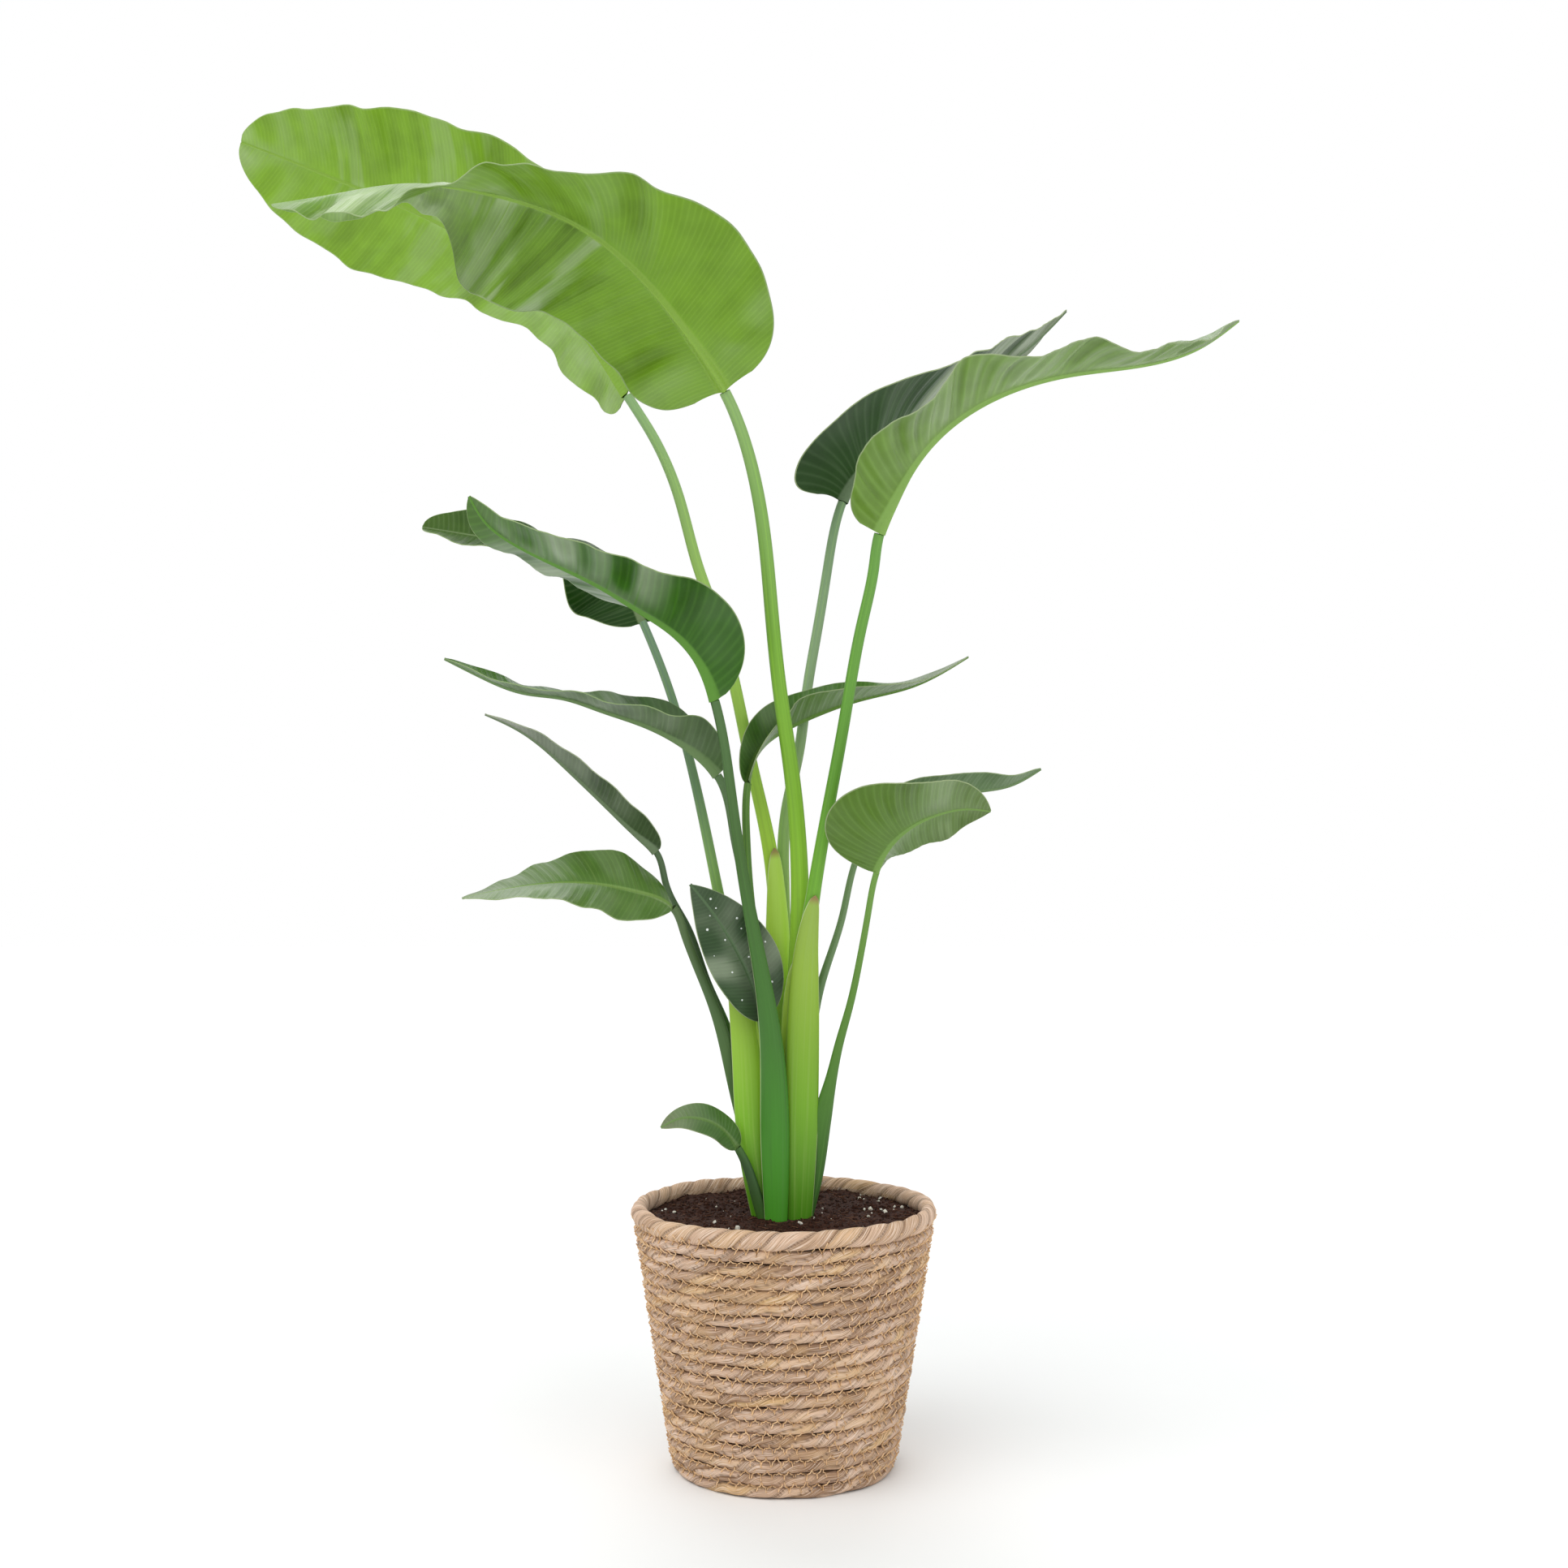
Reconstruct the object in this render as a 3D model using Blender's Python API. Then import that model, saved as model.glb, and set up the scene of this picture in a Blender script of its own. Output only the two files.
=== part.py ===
"""A potted bird of paradise in a round coiled basket: metres, +Z up, standing on z = 0."""

import math

import bmesh
import bpy
import numpy as np

MM = 0.001
FIT = 0.3 * MM  # gap between pieces that touch

# Basket: a coiled seagrass rope wall on a disc, finished with a wrapped roll.
ROWS = 19
ROW_H = 11.4 * MM
FLOOR_T = 9.0 * MM
FOOT_R = 96.5 * MM
WALL_R0 = 98.5 * MM  # outer radius of the wall at its foot
WALL_R1 = 132.5 * MM  # and under the roll
WALL_T = 8.5 * MM
ROPE_BULGE = 1.6 * MM
RIM_TOP = 232.0 * MM
RIM_R = 128.3 * MM  # centre line of the roll
RIM_HALF = (6.6 * MM, 7.0 * MM)  # half width and half height of the roll
AROUND = 40

# Soil and the crown that the stalks grow from.
SOIL_Z = 219.0 * MM
SOIL_MOUND = 3.0 * MM
CROWN = (0.5 * MM, -8.0 * MM)
CROWN_R = (31.0 * MM, 29.0 * MM)
CROWN_DEPTH = 62.0 * MM
STALK_Z = 220.5 * MM

# Blades.
SHEET = 0.9 * MM  # thickness of a blade
TIP_HALF = 1.2 * MM
SWEEP = 0.25  # how far the side veins lean to the tip
STATIONS = 14
COLUMNS = (-1.0, -0.7, -0.38, 0.38, 0.7, 1.0)

# Every leaf: the stalk is (x, y, z, half width, half depth) in mm from the crown to the joint,
# then the midrib is (x, y, z) in mm to the tip. left and right are the halves of the blade seen
# from the joint to the tip with the upper face up, each as: the rise in degrees at even steps
# along the blade, the further bend from midrib to margin, the greatest width in mm, and how far
# in mm the margin runs back beside the joint. shape holds the two powers of the outline, and
# wave the height in mm and the count of the ripples along a margin, which begin at phase.
# sweep is how far the side veins lean to the tip, where that isn't the usual SWEEP.
LEAVES = {
    "top_front": dict(
        stalk=[(8, -9, 220.5, 6.5, 3), (10, -9, 300, 9, 3.2), (12, -10, 400, 9, 3.6),
               (14, -14, 510, 7.5, 4.6), (7, -20, 610, 6.8, 5.2), (-3, -26, 680, 6.3, 5.4),
               (-11, -34, 755, 6, 5.4), (-18, -44, 825, 5.7, 5.2), (-30, -55, 885, 5.3, 5),
               (-50, -68, 937, 4.8, 4.6)],
        midrib=[(-80, -84, 982), (-114, -96, 1024), (-154, -104, 1060), (-190, -108, 1080),
                (-245, -110, 1097), (-316, -108, 1106), (-380, -100, 1099), (-432, -92, 1093)],
        left=([62, 50, 20, 2, -22, -36, -30], -6, 96, 34),
        right=([-52, -30, -48, -80, -8, -5, -12], -8, 92, 50),
        shape=(0.34, 0.7), wave=(3, 3), stations=17),
    "top_back": dict(
        stalk=[(-3, 1, 220.5, 6, 2.6), (-3, 2, 290, 7, 3), (-5, 4, 400, 7, 3.4),
               (-12, 10, 540, 6, 4), (-28, 18, 615, 5.5, 4.4), (-45, 28, 695, 5.3, 4.6),
               (-60, 38, 750, 5.2, 4.6), (-78, 48, 800, 5, 4.6), (-97, 62, 868, 4.8, 4.5),
               (-120, 74, 922, 4.6, 4.3), (-144, 84, 961, 4.4, 4.2)],
        midrib=[(-175, 94, 1008), (-217, 102, 1055), (-271, 108, 1098), (-340, 110, 1137),
                (-415, 106, 1168), (-466, 98, 1187), (-504, 90, 1200)],
        left=([52, 62, 60, 50, 38], -10, 102, 32), right=([-42, -22, -30, -50, -46], -8, 94, 56),
        shape=(0.36, 0.56), wave=(3, 4)),
    "left_upper_front": dict(
        stalk=[(-7, -27, 220.5, 8.5, 3.2), (-8, -28, 300, 11, 3.4), (-11, -34, 375, 9.5, 3.7),
               (-20, -40, 440, 7, 3.9), (-33, -45, 510, 5.2, 4), (-45, -53, 590, 4.5, 4),
               (-59, -64, 673, 4, 3.8)],
        midrib=[(-72, -72, 706), (-92, -80, 730), (-122, -90, 750), (-154, -102, 769),
                (-194, -114, 788), (-226, -120, 804), (-247, -125, 820), (-260, -128, 841)],
        left=([72, 50, 23, 19, 20, 25], 0, 59, 0), right=([72, 36, 8, 1, -10, -45], -5, 56, 6),
        shape=(0.46, 0.78), wave=(1.2, 4)),
    "left_upper_back": dict(
        stalk=[(-18, -12, 220.5, 6.5, 2.8), (-28, -12, 290, 9, 3), (-32, -10, 350, 9.5, 3.2),
               (-40, -5, 415, 8, 3.6), (-54, 3, 485, 5.2, 3.8), (-69, 12, 557, 4.5, 3.8),
               (-88, 25, 637, 4.0, 3.7), (-109, 38, 703, 3.8, 3.5), (-128, 50, 749, 3.6, 3.4)],
        midrib=[(-148, 60, 784), (-178, 68, 806), (-221, 70, 820), (-273, 66, 829),
                (-331, 60, 838)],
        left=([-50, -66, -14, -14, -17, -20], 0, 54, 2), right=([20, 22, 22, 30, 52, 60], 0, 44, 4),
        shape=(0.4, 0.52), wave=(2, 5), sweep=0.05),
    "left_long": dict(
        stalk=[(-6, -19.5, 220.5, 6.5, 2.8), (-7, -20, 300, 8.5, 3), (-12, -26, 375, 7, 3),
               (-21, -31.5, 444, 5.8, 3.4), (-32, -34.5, 508, 4.4, 3.4), (-43, -36, 558, 4, 3.4),
               (-57, -37, 609, 3.7, 3.3)],
        midrib=[(-76, -40, 629), (-98, -46, 644), (-124, -55, 656), (-157, -65, 667),
                (-189, -74, 677), (-221, -81, 681), (-258, -88, 695), (-286, -94, 709)],
        left=([85, 78, 34, 20, 12, 10, 8, 8, 8, 6, 6], 0, 33, 0),
        right=([45, 50, 30, 14, 26, 28], 0, 38, 3),
        shape=(0.34, 0.75), wave=(1.6, 5)),
    "left_slim": dict(
        stalk=[(-14, 11, 220.5, 5, 2.4), (-26, 14, 290, 5.5, 2.6), (-40, 12, 343, 5, 2.8),
               (-51, 8, 385, 4.3, 3), (-69, 2, 429, 3.6, 2.9), (-86, -4, 477, 3.3, 2.9),
               (-104, -10, 514, 3, 2.8), (-112, -14, 542, 2.8, 2.7)],
        midrib=[(-126, -18, 556), (-148, -24, 577), (-188, -34, 616), (-228, -40, 649),
                (-259, -42, 664)],
        left=([60, 34, 28, 22, 10], 0, 26, 3), right=([40, 20, 10, 8, 6], 0, 26, 3),
        shape=(0.45, 0.8), wave=(1, 5)),
    "left_broad": dict(
        stalk=[(-17, 3, 220.5, 6, 2.6), (-31, 4, 290, 7, 2.8), (-44, 0, 341, 6.5, 3),
               (-60, -8, 401, 5, 3.4), (-75, -16, 440, 4.2, 3.3), (-88, -24, 475, 3.7, 3.2),
               (-96, -30, 494, 3.5, 3.1)],
        midrib=[(-108, -35, 503), (-126, -41, 509), (-158, -50, 516), (-199, -60, 518),
                (-240, -66, 513), (-275, -70, 506)],
        left=([-38, -38, -24, -14, -12, -10], -5, 42, 3), right=([30, 52, 42, 28, 18, 12], -8, 42, 3),
        shape=(0.42, 0.78), wave=(1.5, 5)),
    "base_sickle": dict(
        stalk=[(-18, -19.5, 220.5, 4.5, 2.2), (-26, -22, 248, 4.5, 2.4), (-34, -25, 272, 4, 2.4),
               (-40, -28, 284, 3.4, 2.3)],
        midrib=[(-50, -33, 299), (-62, -40, 309), (-76, -46, 314), (-90, -50, 314),
                (-106, -54, 307)],
        left=([-66, -60, -50, -40], -10, 14, 3), right=([75, 70, 60, 40], -10, 15, 3),
        shape=(0.4, 0.7), wave=(0.6, 2)),
    "centre_dewy": dict(
        stalk=[(-4.5, -12.5, 220.5, 6, 2.6), (-8, -13.2, 293, 7, 2.8), (-13, -17, 350, 5.5, 2.5),
               (-19, -20.5, 394, 4.5, 2.4)],
        midrib=[(-26, -23, 421), (-36, -25, 446), (-49, -26, 470), (-65, -26, 494),
                (-82, -25, 515)],
        left=([-80, -76, -74, -70], 10, 31, 2), right=([90, 90, 90, 88], 0, 33, 2),
        shape=(0.5, 0.95), wave=(0.5, 3)),
    "right_slim": dict(
        stalk=[(-11, -5, 220.5, 6, 2.6), (-13, -6, 292, 6, 2.8), (-19, -8, 372, 5, 3),
               (-24, -12, 450, 4.2, 3), (-30, -16, 507, 3.6, 3), (-33, -20, 557, 3.4, 3),
               (-32, -21, 602, 3.2, 3)],
        midrib=[(-25, -8, 627), (-3, 17, 650), (32, 26, 667), (70, 29, 680), (116, 37, 692),
                (167, 46, 719)],
        left=([80, 74, 62, 36, 16, 8], 0, 27, 4), right=([60, 44, 32, 18, 8, 6], -5, 36, 6),
        shape=(0.42, 0.75), wave=(1, 3), sweep=0.2),
    "right_upper_front": dict(
        stalk=[(13, -19, 220.5, 7, 2.8), (15, -19, 294, 9, 3.2), (17, -20, 401, 9, 3.6),
               (21, -23, 472, 7, 4), (27, -27, 515, 6, 4.5), (38, -35, 579, 5.4, 4.6),
               (52, -45, 656, 5, 4.6), (67, -56, 740, 4.8, 4.5), (77, -64, 788, 4.6, 4.3),
               (81, -70, 815, 4.4, 4.2)],
        midrib=[(92, -76, 842), (114, -84, 880), (143, -90, 909), (186, -96, 933),
                (240, -98, 948), (297, -94, 956), (350, -87, 972), (386, -80, 997)],
        left=([24, 20, 18, 18, 18, 18], 0, 72, 0),
        right=([34, 20, 10, 12, 13, 5, 10, 1, 6, 6, 8], 0, 78, 0),
        shape=(0.38, 0.72), wave=(6, 5), phase=0.575, stations=24),
    "right_upper_back": dict(
        stalk=[(3, 8, 220.5, 6, 2.6), (3, 9.5, 290, 7, 3), (1, 12.5, 400, 7, 3.4),
               (-1, 18, 520, 5.5, 3.8), (2, 24, 578, 5, 4.2), (13, 33, 630, 4.8, 4.3),
               (21, 44, 688, 4.6, 4.2), (30, 54, 741, 4.5, 4.2), (40, 65, 801, 4.3, 4),
               (53, 78, 861, 4.1, 3.9)],
        midrib=[(71, 96, 896), (103, 126, 932), (143, 156, 966), (185, 180, 996),
                (230, 198, 1024), (278, 214, 1070)],
        left=([-30, -25, -15, -10], -5, 66, 16), right=([112, 46, 26, 20, 14], -5, 86, 130),
        shape=(0.34, 0.7), wave=(2.5, 5)),
    "right_cupped": dict(
        stalk=[(20, -12.5, 220.5, 4.5, 2.8), (27, -14, 262, 7, 3.2), (34, -18, 311, 7.3, 3.6),
               (41, -22, 343, 5, 3.6), (48, -28, 375, 3.8, 3.3), (57, -36, 409, 3.2, 3.1),
               (66, -46, 453, 2.9, 2.8), (73, -56, 495, 2.7, 2.6), (79, -64, 526, 2.6, 2.5)],
        midrib=[(84, -66, 539), (94, -66, 554), (111, -63, 568), (134, -60, 578),
                (158, -58, 582), (178, -56, 580)],
        left=([30, -12, -26, -32, -42, -40], -10, 44, 0),
        right=([86, 76, 40, 26, 28, 28], 8, 72, 14),
        shape=(0.58, 0.8), wave=(1, 3), sweep=-0.1),
    "right_pointed": dict(
        stalk=[(14, -2.5, 220.5, 5, 2.4), (17, -2, 291, 6, 2.6), (22, 2, 369, 5.5, 3),
               (33, 6, 425, 3.8, 3), (52, 13, 484, 3.1, 2.9), (64, 20, 533, 2.8, 2.7)],
        midrib=[(77, 26, 557), (105, 32, 578), (135, 38, 589), (176, 44, 597),
                (205, 46, 602), (233, 46, 617)],
        left=([30, 20, 15, 10], 0, 34, 5), right=([60, 45, 34, 22], 0, 34, 6),
        shape=(0.45, 0.7), wave=(1, 3)),
}

MATERIALS = {
    "straw": ((0.55, 0.38, 0.24), 0.85), "soil": ((0.03, 0.017, 0.012), 0.95),
    "crown": ((0.16, 0.1, 0.05), 0.9), "stalk": ((0.2, 0.42, 0.09), 0.5),
    "leaf": ((0.09, 0.24, 0.045), 0.45), "young_leaf": ((0.2, 0.42, 0.05), 0.45),
}


def spline(points):
    """A function of chord length that runs smoothly through the points, and their lengths."""
    p = np.array(points, float)
    if p.ndim == 1:
        p = p[:, None]
        t = np.arange(len(p), dtype=float)
    else:
        t = np.concatenate([[0], np.cumsum(np.linalg.norm(np.diff(p, axis=0), axis=1))])
    h = np.diff(t)
    a = np.eye(len(t))
    b = np.zeros_like(p)
    for i in range(1, len(t) - 1):
        a[i, i - 1:i + 2] = h[i - 1], 2 * (h[i - 1] + h[i]), h[i]
        b[i] = 6 * ((p[i + 1] - p[i]) / h[i] - (p[i] - p[i - 1]) / h[i - 1])
    m = np.linalg.solve(a, b)

    def at(q):
        q = np.clip(np.atleast_1d(q), 0, t[-1])
        i = np.clip(np.searchsorted(t, q, side="right") - 1, 0, len(h) - 1)
        u, v, d = (q - t[i])[:, None], (t[i + 1] - q)[:, None], h[i][:, None]
        return (m[i] * v ** 3 + m[i + 1] * u ** 3) / (6 * d) \
            + (p[i] / d - m[i] * d / 6) * v + (p[i + 1] / d - m[i + 1] * d / 6) * u

    return at, t


def along(values, s):
    """The values spread evenly over 0 to 1, read at s."""
    at, t = spline(values)
    return at(np.asarray(s) * t[-1])[:, 0]


def leaf_axis(leaf):
    """The whole centre line, and where on it the joint and the tip lie."""
    points = [p[:3] for p in leaf["stalk"]] + leaf["midrib"]
    at, t = spline(np.array(points) * MM)
    return at, t[len(leaf["stalk"]) - 1], t[-1]


def frame_at(at, q):
    step = 0.5 * MM
    t = at(q + step) - at(q - step)
    return t / np.linalg.norm(t, axis=1)[:, None]


def stalk_rings(leaf, n=10, stations=11):
    at, joint, _ = leaf_axis(leaf)
    _, knots = spline(np.array([p[:3] for p in leaf["stalk"]], float) * MM)
    q = np.linspace(0, joint, stations)
    centre, t = at(q), frame_at(at, np.clip(q, 1 * MM, None))
    t[0] = (0, 0, 1)
    share = np.interp(q, knots, np.linspace(0, 1, len(knots)))
    wide = along([p[3] for p in leaf["stalk"]], share) * MM
    deep = along([p[4] for p in leaf["stalk"]], share) * MM
    across = np.cross((0.0, 1.0, 0.0), t)
    across /= np.linalg.norm(across, axis=1)[:, None]
    back = np.cross(t, across)
    turn = np.linspace(0, 2 * math.pi, n, endpoint=False)
    return [c + np.outer(np.cos(turn), a) * w + np.outer(np.sin(turn), b) * d
            for c, a, b, w, d in zip(centre, across, back, wide, deep)]


def blade_surface(leaf, s, v):
    """Points of the upper face and its normals at every s along and v across (-1 to 1)."""
    at, joint, end = leaf_axis(leaf)
    q = joint + FIT + s * (end - joint - FIT)
    centre, t = at(q), frame_at(at, q)
    side = np.cross(t, (0.0, 0.0, 1.0))
    side /= np.linalg.norm(side, axis=1)[:, None]
    up = np.cross(side, t)
    a, b = leaf["shape"]
    peak = a / (a + b)
    outline = (s / peak) ** a * ((1 - s) / (1 - peak)) ** b
    root = leaf["stalk"][-1][3] * MM
    least = np.interp(s, [0, 1], [1.3 * root, TIP_HALF])
    height, count = leaf["wave"]
    phase, sweep = leaf.get("phase", 0.15), leaf.get("sweep", SWEEP)
    point = np.empty((len(s), len(v), 3))
    normal = np.empty_like(point)
    for j, x in enumerate(v):
        sign = 1 if x >= 0 else -1
        rise_at, bend, half, lobe = leaf["right" if x >= 0 else "left"]
        width = np.maximum(half * MM * outline, least)
        tilt = np.radians(along(rise_at, s))
        bend = math.radians(bend) or 1e-4
        end_angle = tilt + bend * abs(x)
        out = (np.sin(end_angle) - np.sin(tilt)) / bend * width
        rise = (np.cos(tilt) - np.cos(end_angle)) / bend * width
        lean = sweep * abs(x) * width \
            - lobe * MM * (x * width / (half * MM)) ** 2 * np.clip(1 - s / 0.4, 0, 1) ** 2
        n = -sign * side * np.sin(end_angle)[:, None] + up * np.cos(end_angle)[:, None]
        ripple = height * MM * x * x * outline * np.sin(
            2 * math.pi * (count * s + phase + (0 if sign > 0 else 0.45)))
        point[:, j] = centre + sign * side * out[:, None] + up * rise[:, None] \
            + t * lean[:, None] + n * ripple[:, None]
        normal[:, j] = n
    middle = np.argmin(np.abs(v))
    for s_i in range(len(s)):
        pair = normal[s_i, middle - 1] + normal[s_i, middle + 1]
        normal[s_i, middle] = pair / np.linalg.norm(pair)
    return point, normal, np.maximum(leaf["left"][2] * MM * outline, least)


def blade_rings(leaf):
    s = 0.004 + 0.996 * np.linspace(0, 1, leaf.get("stations", STATIONS)) ** 1.25
    root = leaf["stalk"][-1][4] * MM
    rib = np.interp(s, [0, 0.15, 1], [root, 0.62 * root, 1 * MM])
    _, _, width = blade_surface(leaf, s, np.array([-1.0, 0.0, 1.0]))
    rings = []
    for i, (here, r, w) in enumerate(zip(s, rib, width)):
        flank = min(0.3, r / w) if w > 1.35 * r else 0.3
        v = np.array([*COLUMNS[:3], -flank, 0.0, flank, *COLUMNS[3:]])
        p, n, _ = blade_surface(leaf, np.array([here]), v)
        keel = 2 * r - SHEET if i == 0 else 1.5 * r
        thick = SHEET + np.where(np.abs(v) <= flank, np.where(v == 0, keel, 0.45 * keel), 0)
        thick[0] = thick[-1] = 0.7 * SHEET
        lower = p[0] - n[0] * thick[:, None]
        rings.append(np.concatenate([p[0], lower[::-1]]))
    return rings


def solid(name, rings, material, closed=False, smooth=True, sheet=False):
    """One closed body through rings of equal count: capped, or joined end to end.

    A sheet's ring runs out along its upper face and back along its lower one, and both faces
    are split along the same diagonals, so that the sheet stays equally thick where it twists."""
    n = len(rings[0])
    mesh = bmesh.new()
    grid = [[mesh.verts.new(tuple(p)) for p in ring] for ring in rings]
    count = len(rings)
    for i in range(count if closed else count - 1):
        a, b = grid[i], grid[(i + 1) % count]
        for j in range(n):
            k = (j + 1) % n
            if not sheet:
                mesh.faces.new((a[j], a[k], b[k], b[j]))
                continue
            top = j if j < n // 2 else n - 2 - j
            rising = j == n // 2 - 1 or j == n - 1 or \
                (a[top].co - b[top + 1].co).length < (a[top + 1].co - b[top].co).length
            if rising == (j < n // 2):
                mesh.faces.new((a[j], a[k], b[k]))
                mesh.faces.new((a[j], b[k], b[j]))
            else:
                mesh.faces.new((a[j], a[k], b[j]))
                mesh.faces.new((a[k], b[k], b[j]))
    if not closed:
        for ring in (grid[0], grid[-1]):
            middle = mesh.verts.new(tuple(sum((np.array(v.co) for v in ring)) / n))
            for j in range(n):
                mesh.faces.new((ring[j], ring[(j + 1) % n], middle))
    bmesh.ops.recalc_face_normals(mesh, faces=mesh.faces)
    for face in mesh.faces:
        face.smooth = smooth
    data = bpy.data.meshes.new(name)
    mesh.to_mesh(data)
    mesh.free()
    data.materials.append(material)
    obj = bpy.data.objects.new(name, data)
    bpy.context.scene.collection.objects.link(obj)
    return obj


def circle(radius, z, centre=(0.0, 0.0), other=None, n=AROUND):
    turn = np.linspace(0, 2 * math.pi, n, endpoint=False)
    return np.stack([centre[0] + radius * np.cos(turn),
                     centre[1] + (other or radius) * np.sin(turn), np.full(n, z)], axis=1)


def wall_radius(z):
    return WALL_R0 + (WALL_R1 - WALL_R0) * z / (ROWS * ROW_H)


def make_materials():
    made = {}
    for name, (colour, rough) in MATERIALS.items():
        material = bpy.data.materials.new(name)
        material.use_nodes = True
        shader = material.node_tree.nodes["Principled BSDF"]
        shader.inputs["Base Color"].default_value = (*colour, 1.0)
        shader.inputs["Roughness"].default_value = rough
        shader.inputs["Metallic"].default_value = 0.0
        made[name] = material
    return made


def make_basket(made):
    solid("basket_base", [circle(FOOT_R - 5 * MM - WALL_T, 0.0),
                          circle(FOOT_R - WALL_T, 1.5 * MM),
                          circle(FOOT_R - WALL_T, FLOOR_T - 2 * MM),
                          circle(FOOT_R - WALL_T - 2 * MM, FLOOR_T)], made["straw"])
    profile = []
    for row in range(ROWS):
        for share, bulge in ((0.04, 0.0), (0.5, 1.0)):
            z = (row + share) * ROW_H
            tuck = 7 * MM * max(0.0, 1 - z / (9 * MM)) ** 2
            profile.append((wall_radius(z) - tuck + ROPE_BULGE * (bulge - 1), z))
    top = ROWS * ROW_H
    inner = [(wall_radius(top) - WALL_T, top - 0.5 * MM), (wall_radius(top / 2) - WALL_T, top / 2),
             (wall_radius(FLOOR_T) - WALL_T, FLOOR_T + 1 * MM),
             (FOOT_R - WALL_T + FIT, FLOOR_T - 1 * MM), (FOOT_R - WALL_T + FIT, profile[0][1])]
    turn = np.linspace(0, 2 * math.pi, AROUND, endpoint=False)
    loops = [[(r * math.cos(a), r * math.sin(a), z) for r, z in profile + inner] for a in turn]
    solid("basket_wall", loops, made["straw"], closed=True)
    half_w, half_h = RIM_HALF
    tube = []
    for k in range(10):
        a = 2 * math.pi * k / 10
        tube.append((RIM_R + half_w * math.cos(a), RIM_TOP - half_h + half_h * math.sin(a)))
    low = ROWS * ROW_H + FIT
    tube = [(r, max(z, low)) for r, z in tube]
    loops = [[(r * math.cos(a), r * math.sin(a), z) for r, z in tube] for a in turn]
    solid("basket_rim", loops, made["straw"], closed=True)


def make_soil(made):
    foot = FLOOR_T + 1.2 * MM
    low = wall_radius(foot) - WALL_T - 1.0 * MM
    high = RIM_R - RIM_HALF[0] - FIT
    shoulder = ROWS * ROW_H - 6 * MM
    wall = wall_radius(shoulder) - WALL_T - FIT
    a, b = CROWN_R
    rings = [circle(low - 2 * MM, foot), circle(low, foot + 3 * MM), circle(wall, shoulder),
             circle(min(high, wall + 0.5 * MM), SOIL_Z - 1 * MM),
             circle(high - 8 * MM, SOIL_Z, (0, -1 * MM)),
             circle((high + a) / 2, SOIL_Z + SOIL_MOUND * 0.6, (0, -4 * MM)),
             circle(a + FIT, SOIL_Z + SOIL_MOUND - 2 * MM, CROWN, b + FIT),
             circle(a + FIT, STALK_Z - CROWN_DEPTH - 1 * MM, CROWN, b + FIT)]
    solid("soil", rings, made["soil"])
    rings = [circle(0.55 * a, STALK_Z - CROWN_DEPTH, CROWN, 0.55 * b, 32),
             circle(0.85 * a, STALK_Z - 0.8 * CROWN_DEPTH, CROWN, 0.85 * b, 32),
             circle(a - 0.2 * MM, STALK_Z - 0.35 * CROWN_DEPTH, CROWN, b - 0.2 * MM, 32),
             circle(a - 0.2 * MM, STALK_Z - 3 * MM, CROWN, b - 0.2 * MM, 32),
             circle(a - 2 * MM, STALK_Z - FIT, CROWN, b - 2 * MM, 32)]
    solid("crown", rings, made["crown"])


def main():
    for obj in list(bpy.data.objects):
        bpy.data.objects.remove(obj, do_unlink=True)
    made = make_materials()
    make_basket(made)
    make_soil(made)
    for name, leaf in LEAVES.items():
        solid(f"stalk_{name}", stalk_rings(leaf), made["stalk"])
        young = name.startswith("top")
        solid(f"blade_{name}", blade_rings(leaf), made["young_leaf" if young else "leaf"],
              sheet=True)


main()
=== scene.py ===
"""The looks of the potted bird of paradise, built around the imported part."""

import math

import bpy
import numpy as np
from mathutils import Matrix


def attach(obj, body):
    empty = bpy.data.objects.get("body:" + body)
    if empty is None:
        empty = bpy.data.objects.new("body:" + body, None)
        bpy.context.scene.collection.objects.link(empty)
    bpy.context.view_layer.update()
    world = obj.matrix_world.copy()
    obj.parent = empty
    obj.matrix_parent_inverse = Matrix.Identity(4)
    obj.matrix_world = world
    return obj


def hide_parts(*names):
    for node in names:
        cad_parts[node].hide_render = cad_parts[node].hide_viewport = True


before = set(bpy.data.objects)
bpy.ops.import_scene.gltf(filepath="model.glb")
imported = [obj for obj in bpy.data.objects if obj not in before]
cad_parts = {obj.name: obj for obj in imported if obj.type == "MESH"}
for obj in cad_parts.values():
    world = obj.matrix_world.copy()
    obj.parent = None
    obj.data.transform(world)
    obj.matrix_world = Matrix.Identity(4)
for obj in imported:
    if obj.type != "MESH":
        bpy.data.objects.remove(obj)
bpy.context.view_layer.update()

MM = 0.001
FIT = 0.3 * MM  # gap between pieces that touch

# Basket: a coiled seagrass rope wall on a disc, finished with a wrapped roll.
ROWS = 19
ROW_H = 11.4 * MM
FOOT_R = 96.5 * MM
WALL_R0 = 98.5 * MM  # outer radius of the wall at its foot
WALL_R1 = 132.5 * MM  # and under the roll
WALL_T = 8.5 * MM
RIM_TOP = 232.0 * MM
RIM_R = 128.3 * MM  # centre line of the roll
RIM_HALF = (6.6 * MM, 7.0 * MM)  # half width and half height of the roll
ROPE_HALF = (5.6 * MM, 0.485 * ROW_H)  # half width and half height of a row of rope
BASE_HALF = (5.2 * MM, 4.6 * MM)  # and of the coil in the base
BASE_STEP = 9.6 * MM  # from one turn of that coil to the next
STRAND = 23 * MM  # how much of a row one strand covers
STITCH_STEP = 4.4 * MM  # from one stitch to the next
THREAD = (5, 4)  # points along a short thread, and sides round it
STITCH_OUT = (6.7 * MM, 6.1 * MM)  # how far the thread runs from a row's centre, out and up

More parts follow.
